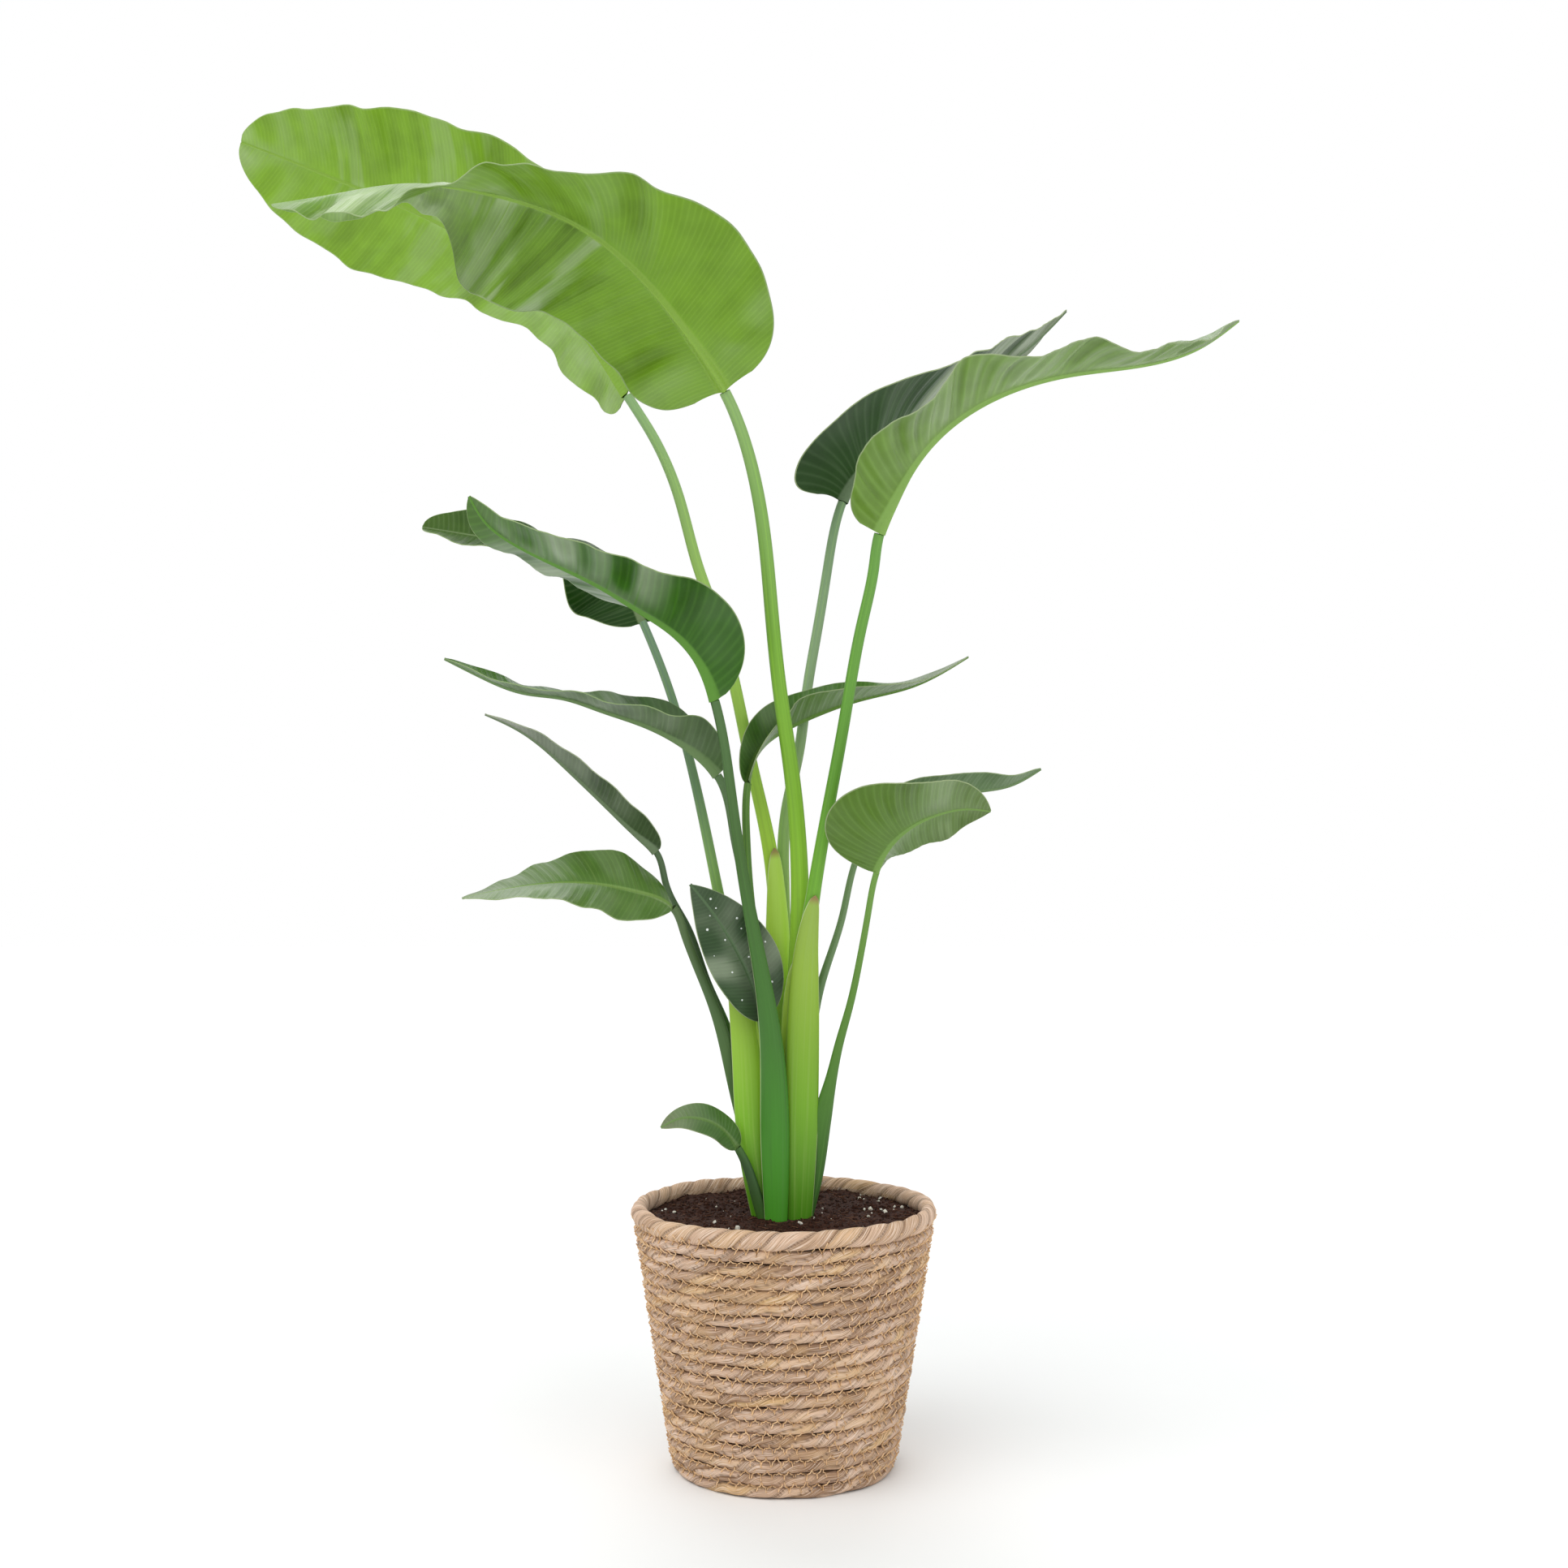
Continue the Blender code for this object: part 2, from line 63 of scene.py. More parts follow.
# Soil and the crown that the stalks grow from.
SOIL_Z = 219.0 * MM
CROWN = (0.5 * MM, -8.0 * MM)
CROWN_R = (31.0 * MM, 29.0 * MM)
CROWN_DEPTH = 62.0 * MM
STALK_Z = 220.5 * MM
SOIL_R = RIM_R - 2.8 * MM
CRUMBS, PERLITE, FIBRES = 3800, 80, 240  # how many lie on the soil

# Blades.
TIP_HALF = 1.2 * MM
SWEEP = 0.25  # how far the side veins lean to the tip
PHASE = 0.15  # where the ripples of the right margin begin
OTHER_PHASE = 0.45  # and how much further on those of the left margin do

# Every leaf: the stalk is (x, y, z, half width, half depth) in mm from the crown to the joint,
# then the midrib is (x, y, z) in mm to the tip. left and right are the halves of the blade seen
# from the joint to the tip with the upper face up, each as: the rise in degrees at even steps
# along the blade, the further bend from midrib to margin, the greatest width in mm, and how far
# in mm the margin runs back beside the joint. shape holds the two powers of the outline, and
# wave the height in mm and the count of the ripples along a margin. sweep and phase are given
# where they aren't the usual SWEEP and PHASE.
LEAVES = {
    "top_front": dict(
        stalk=[(8, -9, 220.5, 6.5, 3), (10, -9, 300, 9, 3.2), (12, -10, 400, 9, 3.6),
               (14, -14, 510, 7.5, 4.6), (7, -20, 610, 6.8, 5.2), (-3, -26, 680, 6.3, 5.4),
               (-11, -34, 755, 6, 5.4), (-18, -44, 825, 5.7, 5.2), (-30, -55, 885, 5.3, 5),
               (-50, -68, 937, 4.8, 4.6)],
        midrib=[(-80, -84, 982), (-114, -96, 1024), (-154, -104, 1060), (-190, -108, 1080),
                (-245, -110, 1097), (-316, -108, 1106), (-380, -100, 1099), (-432, -92, 1093)],
        left=([62, 50, 20, 2, -22, -36, -30], -6, 96, 34),
        right=([-52, -30, -48, -80, -8, -5, -12], -8, 92, 50),
        shape=(0.34, 0.7), wave=(3, 3)),
    "top_back": dict(
        stalk=[(-3, 1, 220.5, 6, 2.6), (-3, 2, 290, 7, 3), (-5, 4, 400, 7, 3.4),
               (-12, 10, 540, 6, 4), (-28, 18, 615, 5.5, 4.4), (-45, 28, 695, 5.3, 4.6),
               (-60, 38, 750, 5.2, 4.6), (-78, 48, 800, 5, 4.6), (-97, 62, 868, 4.8, 4.5),
               (-120, 74, 922, 4.6, 4.3), (-144, 84, 961, 4.4, 4.2)],
        midrib=[(-175, 94, 1008), (-217, 102, 1055), (-271, 108, 1098), (-340, 110, 1137),
                (-415, 106, 1168), (-466, 98, 1187), (-504, 90, 1200)],
        left=([52, 62, 60, 50, 38], -10, 102, 32), right=([-42, -22, -30, -50, -46], -8, 94, 56),
        shape=(0.36, 0.56), wave=(3, 4)),
    "left_upper_front": dict(
        stalk=[(-7, -27, 220.5, 8.5, 3.2), (-8, -28, 300, 11, 3.4), (-11, -34, 375, 9.5, 3.7),
               (-20, -40, 440, 7, 3.9), (-33, -45, 510, 5.2, 4), (-45, -53, 590, 4.5, 4),
               (-59, -64, 673, 4, 3.8)],
        midrib=[(-72, -72, 706), (-92, -80, 730), (-122, -90, 750), (-154, -102, 769),
                (-194, -114, 788), (-226, -120, 804), (-247, -125, 820), (-260, -128, 841)],
        left=([72, 50, 23, 19, 20, 25], 0, 59, 0), right=([72, 36, 8, 1, -10, -45], -5, 56, 6),
        shape=(0.46, 0.78), wave=(1.2, 4)),
    "left_upper_back": dict(
        stalk=[(-18, -12, 220.5, 6.5, 2.8), (-28, -12, 290, 9, 3), (-32, -10, 350, 9.5, 3.2),
               (-40, -5, 415, 8, 3.6), (-54, 3, 485, 5.2, 3.8), (-69, 12, 557, 4.5, 3.8),
               (-88, 25, 637, 4.0, 3.7), (-109, 38, 703, 3.8, 3.5), (-128, 50, 749, 3.6, 3.4)],
        midrib=[(-148, 60, 784), (-178, 68, 806), (-221, 70, 820), (-273, 66, 829),
                (-331, 60, 838)],
        left=([-50, -66, -14, -14, -17, -20], 0, 54, 2), right=([20, 22, 22, 30, 52, 60], 0, 44, 4),
        shape=(0.4, 0.52), wave=(2, 5), sweep=0.05),
    "left_long": dict(
        stalk=[(-6, -19.5, 220.5, 6.5, 2.8), (-7, -20, 300, 8.5, 3), (-12, -26, 375, 7, 3),
               (-21, -31.5, 444, 5.8, 3.4), (-32, -34.5, 508, 4.4, 3.4), (-43, -36, 558, 4, 3.4),
               (-57, -37, 609, 3.7, 3.3)],
        midrib=[(-76, -40, 629), (-98, -46, 644), (-124, -55, 656), (-157, -65, 667),
                (-189, -74, 677), (-221, -81, 681), (-258, -88, 695), (-286, -94, 709)],
        left=([85, 78, 34, 20, 12, 10, 8, 8, 8, 6, 6], 0, 33, 0),
        right=([45, 50, 30, 14, 26, 28], 0, 38, 3),
        shape=(0.34, 0.75), wave=(1.6, 5)),
    "left_slim": dict(
        stalk=[(-14, 11, 220.5, 5, 2.4), (-26, 14, 290, 5.5, 2.6), (-40, 12, 343, 5, 2.8),
               (-51, 8, 385, 4.3, 3), (-69, 2, 429, 3.6, 2.9), (-86, -4, 477, 3.3, 2.9),
               (-104, -10, 514, 3, 2.8), (-112, -14, 542, 2.8, 2.7)],
        midrib=[(-126, -18, 556), (-148, -24, 577), (-188, -34, 616), (-228, -40, 649),
                (-259, -42, 664)],
        left=([60, 34, 28, 22, 10], 0, 26, 3), right=([40, 20, 10, 8, 6], 0, 26, 3),
        shape=(0.45, 0.8), wave=(1, 5)),
    "left_broad": dict(
        stalk=[(-17, 3, 220.5, 6, 2.6), (-31, 4, 290, 7, 2.8), (-44, 0, 341, 6.5, 3),
               (-60, -8, 401, 5, 3.4), (-75, -16, 440, 4.2, 3.3), (-88, -24, 475, 3.7, 3.2),
               (-96, -30, 494, 3.5, 3.1)],
        midrib=[(-108, -35, 503), (-126, -41, 509), (-158, -50, 516), (-199, -60, 518),
                (-240, -66, 513), (-275, -70, 506)],
        left=([-38, -38, -24, -14, -12, -10], -5, 42, 3),
        right=([30, 52, 42, 28, 18, 12], -8, 42, 3),
        shape=(0.42, 0.78), wave=(1.5, 5)),
    "base_sickle": dict(
        stalk=[(-18, -19.5, 220.5, 4.5, 2.2), (-26, -22, 248, 4.5, 2.4), (-34, -25, 272, 4, 2.4),
               (-40, -28, 284, 3.4, 2.3)],
        midrib=[(-50, -33, 299), (-62, -40, 309), (-76, -46, 314), (-90, -50, 314),
                (-106, -54, 307)],
        left=([-66, -60, -50, -40], -10, 14, 3), right=([75, 70, 60, 40], -10, 15, 3),
        shape=(0.4, 0.7), wave=(0.6, 2)),
    "centre_dewy": dict(
        stalk=[(-4.5, -12.5, 220.5, 6, 2.6), (-8, -13.2, 293, 7, 2.8), (-13, -17, 350, 5.5, 2.5),
               (-19, -20.5, 394, 4.5, 2.4)],
        midrib=[(-26, -23, 421), (-36, -25, 446), (-49, -26, 470), (-65, -26, 494),
                (-82, -25, 515)],
        left=([-80, -76, -74, -70], 10, 31, 2), right=([90, 90, 90, 88], 0, 33, 2),
        shape=(0.5, 0.95), wave=(0.5, 3)),
    "right_slim": dict(
        stalk=[(-11, -5, 220.5, 6, 2.6), (-13, -6, 292, 6, 2.8), (-19, -8, 372, 5, 3),
               (-24, -12, 450, 4.2, 3), (-30, -16, 507, 3.6, 3), (-33, -20, 557, 3.4, 3),
               (-32, -21, 602, 3.2, 3)],
        midrib=[(-25, -8, 627), (-3, 17, 650), (32, 26, 667), (70, 29, 680), (116, 37, 692),
                (167, 46, 719)],
        left=([80, 74, 62, 36, 16, 8], 0, 27, 4), right=([60, 44, 32, 18, 8, 6], -5, 36, 6),
        shape=(0.42, 0.75), wave=(1, 3), sweep=0.2),
    "right_upper_front": dict(
        stalk=[(13, -19, 220.5, 7, 2.8), (15, -19, 294, 9, 3.2), (17, -20, 401, 9, 3.6),
               (21, -23, 472, 7, 4), (27, -27, 515, 6, 4.5), (38, -35, 579, 5.4, 4.6),
               (52, -45, 656, 5, 4.6), (67, -56, 740, 4.8, 4.5), (77, -64, 788, 4.6, 4.3),
               (81, -70, 815, 4.4, 4.2)],
        midrib=[(92, -76, 842), (114, -84, 880), (143, -90, 909), (186, -96, 933),
                (240, -98, 948), (297, -94, 956), (350, -87, 972), (386, -80, 997)],
        left=([24, 20, 18, 18, 18, 18], 0, 72, 0),
        right=([34, 20, 10, 12, 13, 5, 10, 1, 6, 6, 8], 0, 78, 0),
        shape=(0.38, 0.72), wave=(6, 5), phase=0.575),
    "right_upper_back": dict(
        stalk=[(3, 8, 220.5, 6, 2.6), (3, 9.5, 290, 7, 3), (1, 12.5, 400, 7, 3.4),
               (-1, 18, 520, 5.5, 3.8), (2, 24, 578, 5, 4.2), (13, 33, 630, 4.8, 4.3),
               (21, 44, 688, 4.6, 4.2), (30, 54, 741, 4.5, 4.2), (40, 65, 801, 4.3, 4),
               (53, 78, 861, 4.1, 3.9)],
        midrib=[(71, 96, 896), (103, 126, 932), (143, 156, 966), (185, 180, 996),
                (230, 198, 1024), (278, 214, 1070)],
        left=([-30, -25, -15, -10], -5, 66, 16), right=([112, 46, 26, 20, 14], -5, 86, 130),
        shape=(0.34, 0.7), wave=(2.5, 5)),
    "right_cupped": dict(
        stalk=[(20, -12.5, 220.5, 4.5, 2.8), (27, -14, 262, 7, 3.2), (34, -18, 311, 7.3, 3.6),
               (41, -22, 343, 5, 3.6), (48, -28, 375, 3.8, 3.3), (57, -36, 409, 3.2, 3.1),
               (66, -46, 453, 2.9, 2.8), (73, -56, 495, 2.7, 2.6), (79, -64, 526, 2.6, 2.5)],
        midrib=[(84, -66, 539), (94, -66, 554), (111, -63, 568), (134, -60, 578),
                (158, -58, 582), (178, -56, 580)],
        left=([30, -12, -26, -32, -42, -40], -10, 44, 0),
        right=([86, 76, 40, 26, 28, 28], 8, 72, 14),
        shape=(0.58, 0.8), wave=(1, 3), sweep=-0.1),
    "right_pointed": dict(
        stalk=[(14, -2.5, 220.5, 5, 2.4), (17, -2, 291, 6, 2.6), (22, 2, 369, 5.5, 3),
               (33, 6, 425, 3.8, 3), (52, 13, 484, 3.1, 2.9), (64, 20, 533, 2.8, 2.7)],
        midrib=[(77, 26, 557), (105, 32, 578), (135, 38, 589), (176, 44, 597),
                (205, 46, 602), (233, 46, 617)],
        left=([30, 20, 15, 10], 0, 34, 5), right=([60, 45, 34, 22], 0, 34, 6),
        shape=(0.45, 0.7), wave=(1, 3)),
}

# How each leaf looks: colours of the upper face, lower face, rib and tip (linear RGB), how much
# painted sheen lies on it in clouds and in bands (from, to, strength), the spacing and height in
# mm of its pleats, the height in mm of its broad folds, and the stalk's colours from soil to
# joint. Some leaves also have painted highlight and painted shade streaks along their veins (from,
# to, strength on the one half and the other), a painted shade patch (shade: from, to, strength),
# a gloss of their own, or a pale line up the stalk's sheath (edge).
LOOKS = {
    # Its lower face is a light green of its own, painted brighter still as light shining through
    # the leaf.
    "top_front": dict(
        up=(0.05, 0.16, 0.01), down=(0.19, 0.38, 0.015), rib=(0.27, 0.46, 0.06),
        tip=(0.12, 0.25, 0.04), sheen_clouds=0.15, sheen_bands=((0.46, 0.88, 0.85), (-0.2, 0.08, 0.45)),
        shade=(0.42, 0.72, 0.55), streaks=(0.35, 0.85, 0.3, 1.0), pleat=(9, 0.25), fold=3.6,
        stalk=((0.10, 0.33, 0.004), (0.26, 0.52, 0.02), (0.19, 0.42, 0.035), (0.30, 0.49, 0.17))),
    # Its lower face is a light green of its own, painted brighter still as light shining through
    # the leaf.
    "top_back": dict(
        up=(0.09, 0.24, 0.01), down=(0.25, 0.48, 0.02), rib=(0.28, 0.48, 0.06),
        tip=(0.22, 0.42, 0.03), sheen_clouds=0.1, sheen_bands=((-0.2, 0.17, 0.75), (0.9, 1.2, 0.8)),
        streaks=(0.25, 0.8, 0.4, 0.3), pleat=(9, 0.25), fold=2.8,
        stalk=((0.14, 0.36, 0.004), (0.36, 0.60, 0.03), (0.34, 0.57, 0.10), (0.27, 0.45, 0.20))),
    "left_upper_front": dict(
        up=(0.03, 0.13, 0.006), down=(0.032, 0.125, 0.004), rib=(0.12, 0.30, 0.04),
        tip=(0.12, 0.22, 0.05), sheen_clouds=0.35, gloss=0.22, sheen_bands=((0.36, 0.80, 0.95),), pleat=(17, 0.5),
        fold=1.4,
        stalk=((0.06, 0.32, 0.008), (0.045, 0.17, 0.015), (0.05, 0.13, 0.02), (0.08, 0.17, 0.05)),
        edge=True),
    # Its faces are a deep green of their own, painted darker still as the shade this lobe lies in.
    "left_upper_back": dict(
        up=(0.012, 0.055, 0.003), down=(0.010, 0.050, 0.002), rib=(0.20, 0.28, 0.13),
        tip=(0.14, 0.25, 0.05), sheen_clouds=0.1, gloss=0.12, sheen_bands=((0.5, 0.6, 0.1),), pleat=(12, 0.4),
        fold=1.0,
        stalk=((0.12, 0.33, 0.015), (0.27, 0.52, 0.03), (0.16, 0.29, 0.14), (0.15, 0.26, 0.16))),
    "left_long": dict(
        up=(0.045, 0.17, 0.012), down=(0.055, 0.12, 0.025), rib=(0.15, 0.25, 0.09),
        tip=(0.08, 0.20, 0.02), sheen_clouds=0.5, sheen_bands=((0.2, 0.6, 0.35),), pleat=(13, 0.4), fold=0.8,
        stalk=((0.08, 0.24, 0.01), (0.07, 0.19, 0.02), (0.07, 0.14, 0.04), (0.10, 0.19, 0.07))),
    "left_slim": dict(
        up=(0.04, 0.12, 0.015), down=(0.055, 0.095, 0.035), rib=(0.15, 0.22, 0.11),
        tip=(0.40, 0.42, 0.34), sheen_clouds=0.5, sheen_bands=((0.2, 0.7, 0.35),), pleat=(11, 0.3), fold=0.5,
        stalk=((0.07, 0.20, 0.01), (0.06, 0.15, 0.03), (0.07, 0.13, 0.05), (0.08, 0.14, 0.06))),
    "left_broad": dict(
        up=(0.065, 0.18, 0.012), down=(0.12, 0.19, 0.05), rib=(0.18, 0.30, 0.07),
        tip=(0.10, 0.19, 0.03), sheen_clouds=0.3, sheen_bands=((0.15, 0.5, 0.2),), pleat=(11, 0.35), fold=0.9,
        stalk=((0.07, 0.20, 0.01), (0.07, 0.16, 0.03), (0.07, 0.14, 0.04), (0.09, 0.15, 0.05))),
    "base_sickle": dict(
        up=(0.055, 0.15, 0.02), down=(0.07, 0.15, 0.03), rib=(0.13, 0.23, 0.06),
        tip=(0.22, 0.20, 0.12), sheen_clouds=0.4, sheen_bands=((0.3, 0.8, 0.35),), pleat=(9, 0.2), fold=0.5,
        stalk=((0.05, 0.15, 0.015), (0.04, 0.11, 0.02), (0.04, 0.10, 0.03), (0.06, 0.15, 0.03))),
    "centre_dewy": dict(
        up=(0.012, 0.050, 0.008), down=(0.035, 0.085, 0.02), rib=(0.09, 0.16, 0.07),
        tip=(0.03, 0.07, 0.02), sheen_clouds=0.75, sheen_bands=((0.25, 0.75, 0.7),), pleat=(9, 0.2), fold=0.6,
        stalk=((0.16, 0.40, 0.01), (0.36, 0.60, 0.03), (0.36, 0.58, 0.04), (0.10, 0.20, 0.05))),
    "right_slim": dict(
        up=(0.03, 0.12, 0.008), down=(0.095, 0.21, 0.02), rib=(0.16, 0.30, 0.06),
        tip=(0.12, 0.17, 0.06), sheen_clouds=0.3, sheen_bands=((0.08, 0.26, 0.45),), pleat=(11, 0.3), fold=0.6,
        stalk=((0.15, 0.38, 0.01), (0.34, 0.56, 0.03), (0.08, 0.20, 0.03), (0.09, 0.21, 0.03))),
    "right_upper_front": dict(
        up=(0.05, 0.16, 0.012), down=(0.15, 0.28, 0.035), rib=(0.26, 0.45, 0.10),
        tip=(0.11, 0.18, 0.06), sheen_clouds=0.3, sheen_bands=((0.2, 0.5, 0.3),), pleat=(19, 1.3), fold=1.2,
        stalk=((0.08, 0.31, 0.004), (0.17, 0.42, 0.02), (0.12, 0.33, 0.03), (0.15, 0.36, 0.06)),
        edge=True),
    # Its faces are a deep green of their own, painted darker still as the shadow it lies in behind
    # right_upper_front.
    "right_upper_back": dict(
        up=(0.012, 0.055, 0.003), down=(0.015, 0.060, 0.004), rib=(0.15, 0.22, 0.12),
        tip=(0.26, 0.33, 0.16), sheen_clouds=0.15, gloss=0.12, sheen_bands=((0.30, 0.85, 1.0),), pleat=(14, 0.4),
        fold=1.2,
        stalk=((0.12, 0.33, 0.015), (0.30, 0.50, 0.08), (0.28, 0.42, 0.22), (0.17, 0.29, 0.14))),
    "right_cupped": dict(
        up=(0.08, 0.21, 0.015), down=(0.105, 0.21, 0.025), rib=(0.20, 0.36, 0.08),
        tip=(0.15, 0.21, 0.08), sheen_clouds=0.3, sheen_bands=((0.6, 0.95, 0.35),), pleat=(8, 0.5), fold=1.0,
        stalk=((0.03, 0.13, 0.01), (0.07, 0.20, 0.02), (0.11, 0.25, 0.03), (0.16, 0.33, 0.05))),
    "right_pointed": dict(
        up=(0.05, 0.14, 0.02), down=(0.08, 0.17, 0.045), rib=(0.17, 0.27, 0.11),
        tip=(0.10, 0.18, 0.06), sheen_clouds=0.4, sheen_bands=((0.5, 0.9, 0.2),), pleat=(10, 0.3), fold=0.6,
        stalk=((0.05, 0.16, 0.01), (0.10, 0.21, 0.05), (0.14, 0.24, 0.10), (0.15, 0.25, 0.10))),
}

# The sheaths whose tips stand free of the clump: the height of the tip, which way it faces and how
# far round the stalk it reaches in degrees, how much fuller than the stalk it is, and its tone.
SHEATHS = {
    "top_front": (0.235, -100, 105, 1.25, 1.0),
    "top_back": (0.325, -85, 105, 1.35, 1.1),
    "left_upper_back": (0.262, -75, 95, 1.2, 0.9),
    "right_upper_front": (0.287, -105, 95, 1.28, 0.72),
}

# Studio: a white sky, broad lamps (aim, strength, spread in degrees) and the camera.
SKY = 0.62
LAMPS = {
    "key": ((0.4, 0.5, -0.95), 1.35, 55),
    "fill": ((-0.8, 0.7, -0.6), 0.5, 60),
    "back": ((0.1, -0.75, -0.8), 0.8, 50),
}
FLOOR_HALF = 6.0
CAMERA_AT = (0.0, -1.9, 0.603)
CAMERA_LENS, CAMERA_SENSOR = 49.17, 36.0  # mm

# ---------------------------------------------------------------- curves and surfaces


def spline(points):
    """A function of chord length that runs smoothly through the points, and their lengths."""
    p = np.array(points, float)
    if p.ndim == 1:
        p = p[:, None]
        t = np.arange(len(p), dtype=float)
    else:
        t = np.concatenate([[0], np.cumsum(np.linalg.norm(np.diff(p, axis=0), axis=1))])
    h = np.diff(t)
    a = np.eye(len(t))
    b = np.zeros_like(p)
    for i in range(1, len(t) - 1):
        a[i, i - 1:i + 2] = h[i - 1], 2 * (h[i - 1] + h[i]), h[i]
        b[i] = 6 * ((p[i + 1] - p[i]) / h[i] - (p[i] - p[i - 1]) / h[i - 1])
    m = np.linalg.solve(a, b)

    def at(q):
        q = np.clip(np.atleast_1d(q), 0, t[-1])
        i = np.clip(np.searchsorted(t, q, side="right") - 1, 0, len(h) - 1)
        u, v, d = (q - t[i])[:, None], (t[i + 1] - q)[:, None], h[i][:, None]
        return (m[i] * v ** 3 + m[i + 1] * u ** 3) / (6 * d) \
            + (p[i] / d - m[i] * d / 6) * v + (p[i + 1] / d - m[i + 1] * d / 6) * u

    return at, t


def along(values, s):
    """The values spread evenly over 0 to 1, read at s."""
    at, t = spline(values)
    return at(np.asarray(s) * t[-1])[:, 0]


def leaf_axis(leaf):
    """The whole centre line, and where on it the joint and the tip lie."""
    points = [p[:3] for p in leaf["stalk"]] + leaf["midrib"]
    at, t = spline(np.array(points) * MM)
    return at, t[len(leaf["stalk"]) - 1], t[-1]


def tangent(at, q):
    """Unit tangents of a curve."""
    step = 0.5 * MM
    t = at(q + step) - at(q - step)
    return t / np.linalg.norm(t, axis=1)[:, None]


def blade_surface(leaf, s, v):
    """Points of the upper face and its normals at every s along and v across (-1 to 1), and the
    width of the left half at every s."""
    at, joint, end = leaf_axis(leaf)
    q = joint + FIT + s * (end - joint - FIT)
    centre, t = at(q), tangent(at, q)
    side = np.cross(t, (0.0, 0.0, 1.0))
    side /= np.linalg.norm(side, axis=1)[:, None]
    up = np.cross(side, t)
    a, b = leaf["shape"]
    peak = a / (a + b)
    outline = (s / peak) ** a * ((1 - s) / (1 - peak)) ** b
    root = leaf["stalk"][-1][3] * MM
    least = np.interp(s, [0, 1], [1.3 * root, TIP_HALF])
    height, count = leaf["wave"]
    phase, sweep = leaf.get("phase", PHASE), leaf.get("sweep", SWEEP)
    point = np.empty((len(s), len(v), 3))
    normal = np.empty_like(point)
    for j, x in enumerate(v):
        sign = 1 if x >= 0 else -1
        rise_at, bend, half, lobe = leaf["right" if x >= 0 else "left"]
        width = np.maximum(half * MM * outline, least)
        tilt = np.radians(along(rise_at, s))
        bend = math.radians(bend) or 1e-4
        end_angle = tilt + bend * abs(x)
        out = (np.sin(end_angle) - np.sin(tilt)) / bend * width
        rise = (np.cos(tilt) - np.cos(end_angle)) / bend * width
        lean = sweep * abs(x) * width \
            - lobe * MM * (x * width / (half * MM)) ** 2 * np.clip(1 - s / 0.4, 0, 1) ** 2
        n = -sign * side * np.sin(end_angle)[:, None] + up * np.cos(end_angle)[:, None]
        ripple = height * MM * x * x * outline * np.sin(
            2 * math.pi * (count * s + phase + (0 if sign > 0 else OTHER_PHASE)))
        point[:, j] = centre + sign * side * out[:, None] + up * rise[:, None] \
            + t * lean[:, None] + n * ripple[:, None]
        normal[:, j] = n
    middle = np.argmin(np.abs(v))
    for s_i in range(len(s)):
        pair = normal[s_i, middle - 1] + normal[s_i, middle + 1]
        normal[s_i, middle] = pair / np.linalg.norm(pair)
    return point, normal, np.maximum(leaf["left"][2] * MM * outline, least)


def wall_radius(z):
    """Outer radius of the basket's wall at height z."""
    return WALL_R0 + (WALL_R1 - WALL_R0) * z / (ROWS * ROW_H)


# ---------------------------------------------------------------- meshes


def grid_faces(rows, cols, wrap_cols=False, start=0, flip=False):
    """Quads over a grid of points stored row by row."""
    i = np.arange(rows - 1)[:, None]
    j = np.arange(cols if wrap_cols else cols - 1)[None, :]
    a, b = i * cols + j, i * cols + (j + 1) % cols
    c, d = (i + 1) * cols + (j + 1) % cols, (i + 1) * cols + j
    quads = np.stack([a, b, c, d], axis=-1).reshape(-1, 4) + start
    return quads[:, ::-1] if flip else quads


def mesh_object(name, points, faces, uv=None, marks=None):
    """A smooth mesh with a UV map named surface and any float marks on its points."""
    points = np.asarray(points, float).reshape(-1, 3)
    faces = np.asarray(faces)
    data = bpy.data.meshes.new(name)
    data.vertices.add(len(points))
    data.vertices.foreach_set("co", points.ravel())
    sides = faces.shape[1]
    data.loops.add(faces.size)
    data.loops.foreach_set("vertex_index", faces.ravel())
    data.polygons.add(len(faces))
    data.polygons.foreach_set("loop_start", np.arange(0, faces.size, sides))
    data.polygons.foreach_set("use_smooth", np.ones(len(faces), bool))
    data.update(calc_edges=True)
    if uv is not None:
        layer = data.uv_layers.new(name="surface")
        layer.data.foreach_set("uv", np.asarray(uv, float).reshape(-1, 2)[faces.ravel()].ravel())
    for mark, values in (marks or {}).items():
        attribute = data.attributes.new(mark, "FLOAT", "POINT")
        attribute.data.foreach_set("value", np.asarray(values, np.float32).ravel())
    obj = bpy.data.objects.new(name, data)
    bpy.context.scene.collection.objects.link(obj)
    return obj


def smooth(low, high, x):
    """0 at low and 1 at high, with a soft start and end."""
    t = np.clip((x - low) / (high - low), 0, 1)
    return t * t * (3 - 2 * t)


def tube(path, radius, sides=6):
    """Rings of a thin tube along a path, with a radius at every point."""
    path = np.asarray(path, float)
    t = np.gradient(path, axis=0)
    t /= np.linalg.norm(t, axis=1)[:, None]
    across = np.cross(t, (0.13, 0.21, 0.97))
    across /= np.linalg.norm(across, axis=1)[:, None]
    other = np.cross(t, across)
    turn = np.linspace(0, 2 * math.pi, sides, endpoint=False)
    radius = np.broadcast_to(radius, len(path))[:, None, None]
    return path[:, None] + radius * (np.cos(turn)[None, :, None] * across[:, None]
                                     + np.sin(turn)[None, :, None] * other[:, None])


# ---------------------------------------------------------------- materials


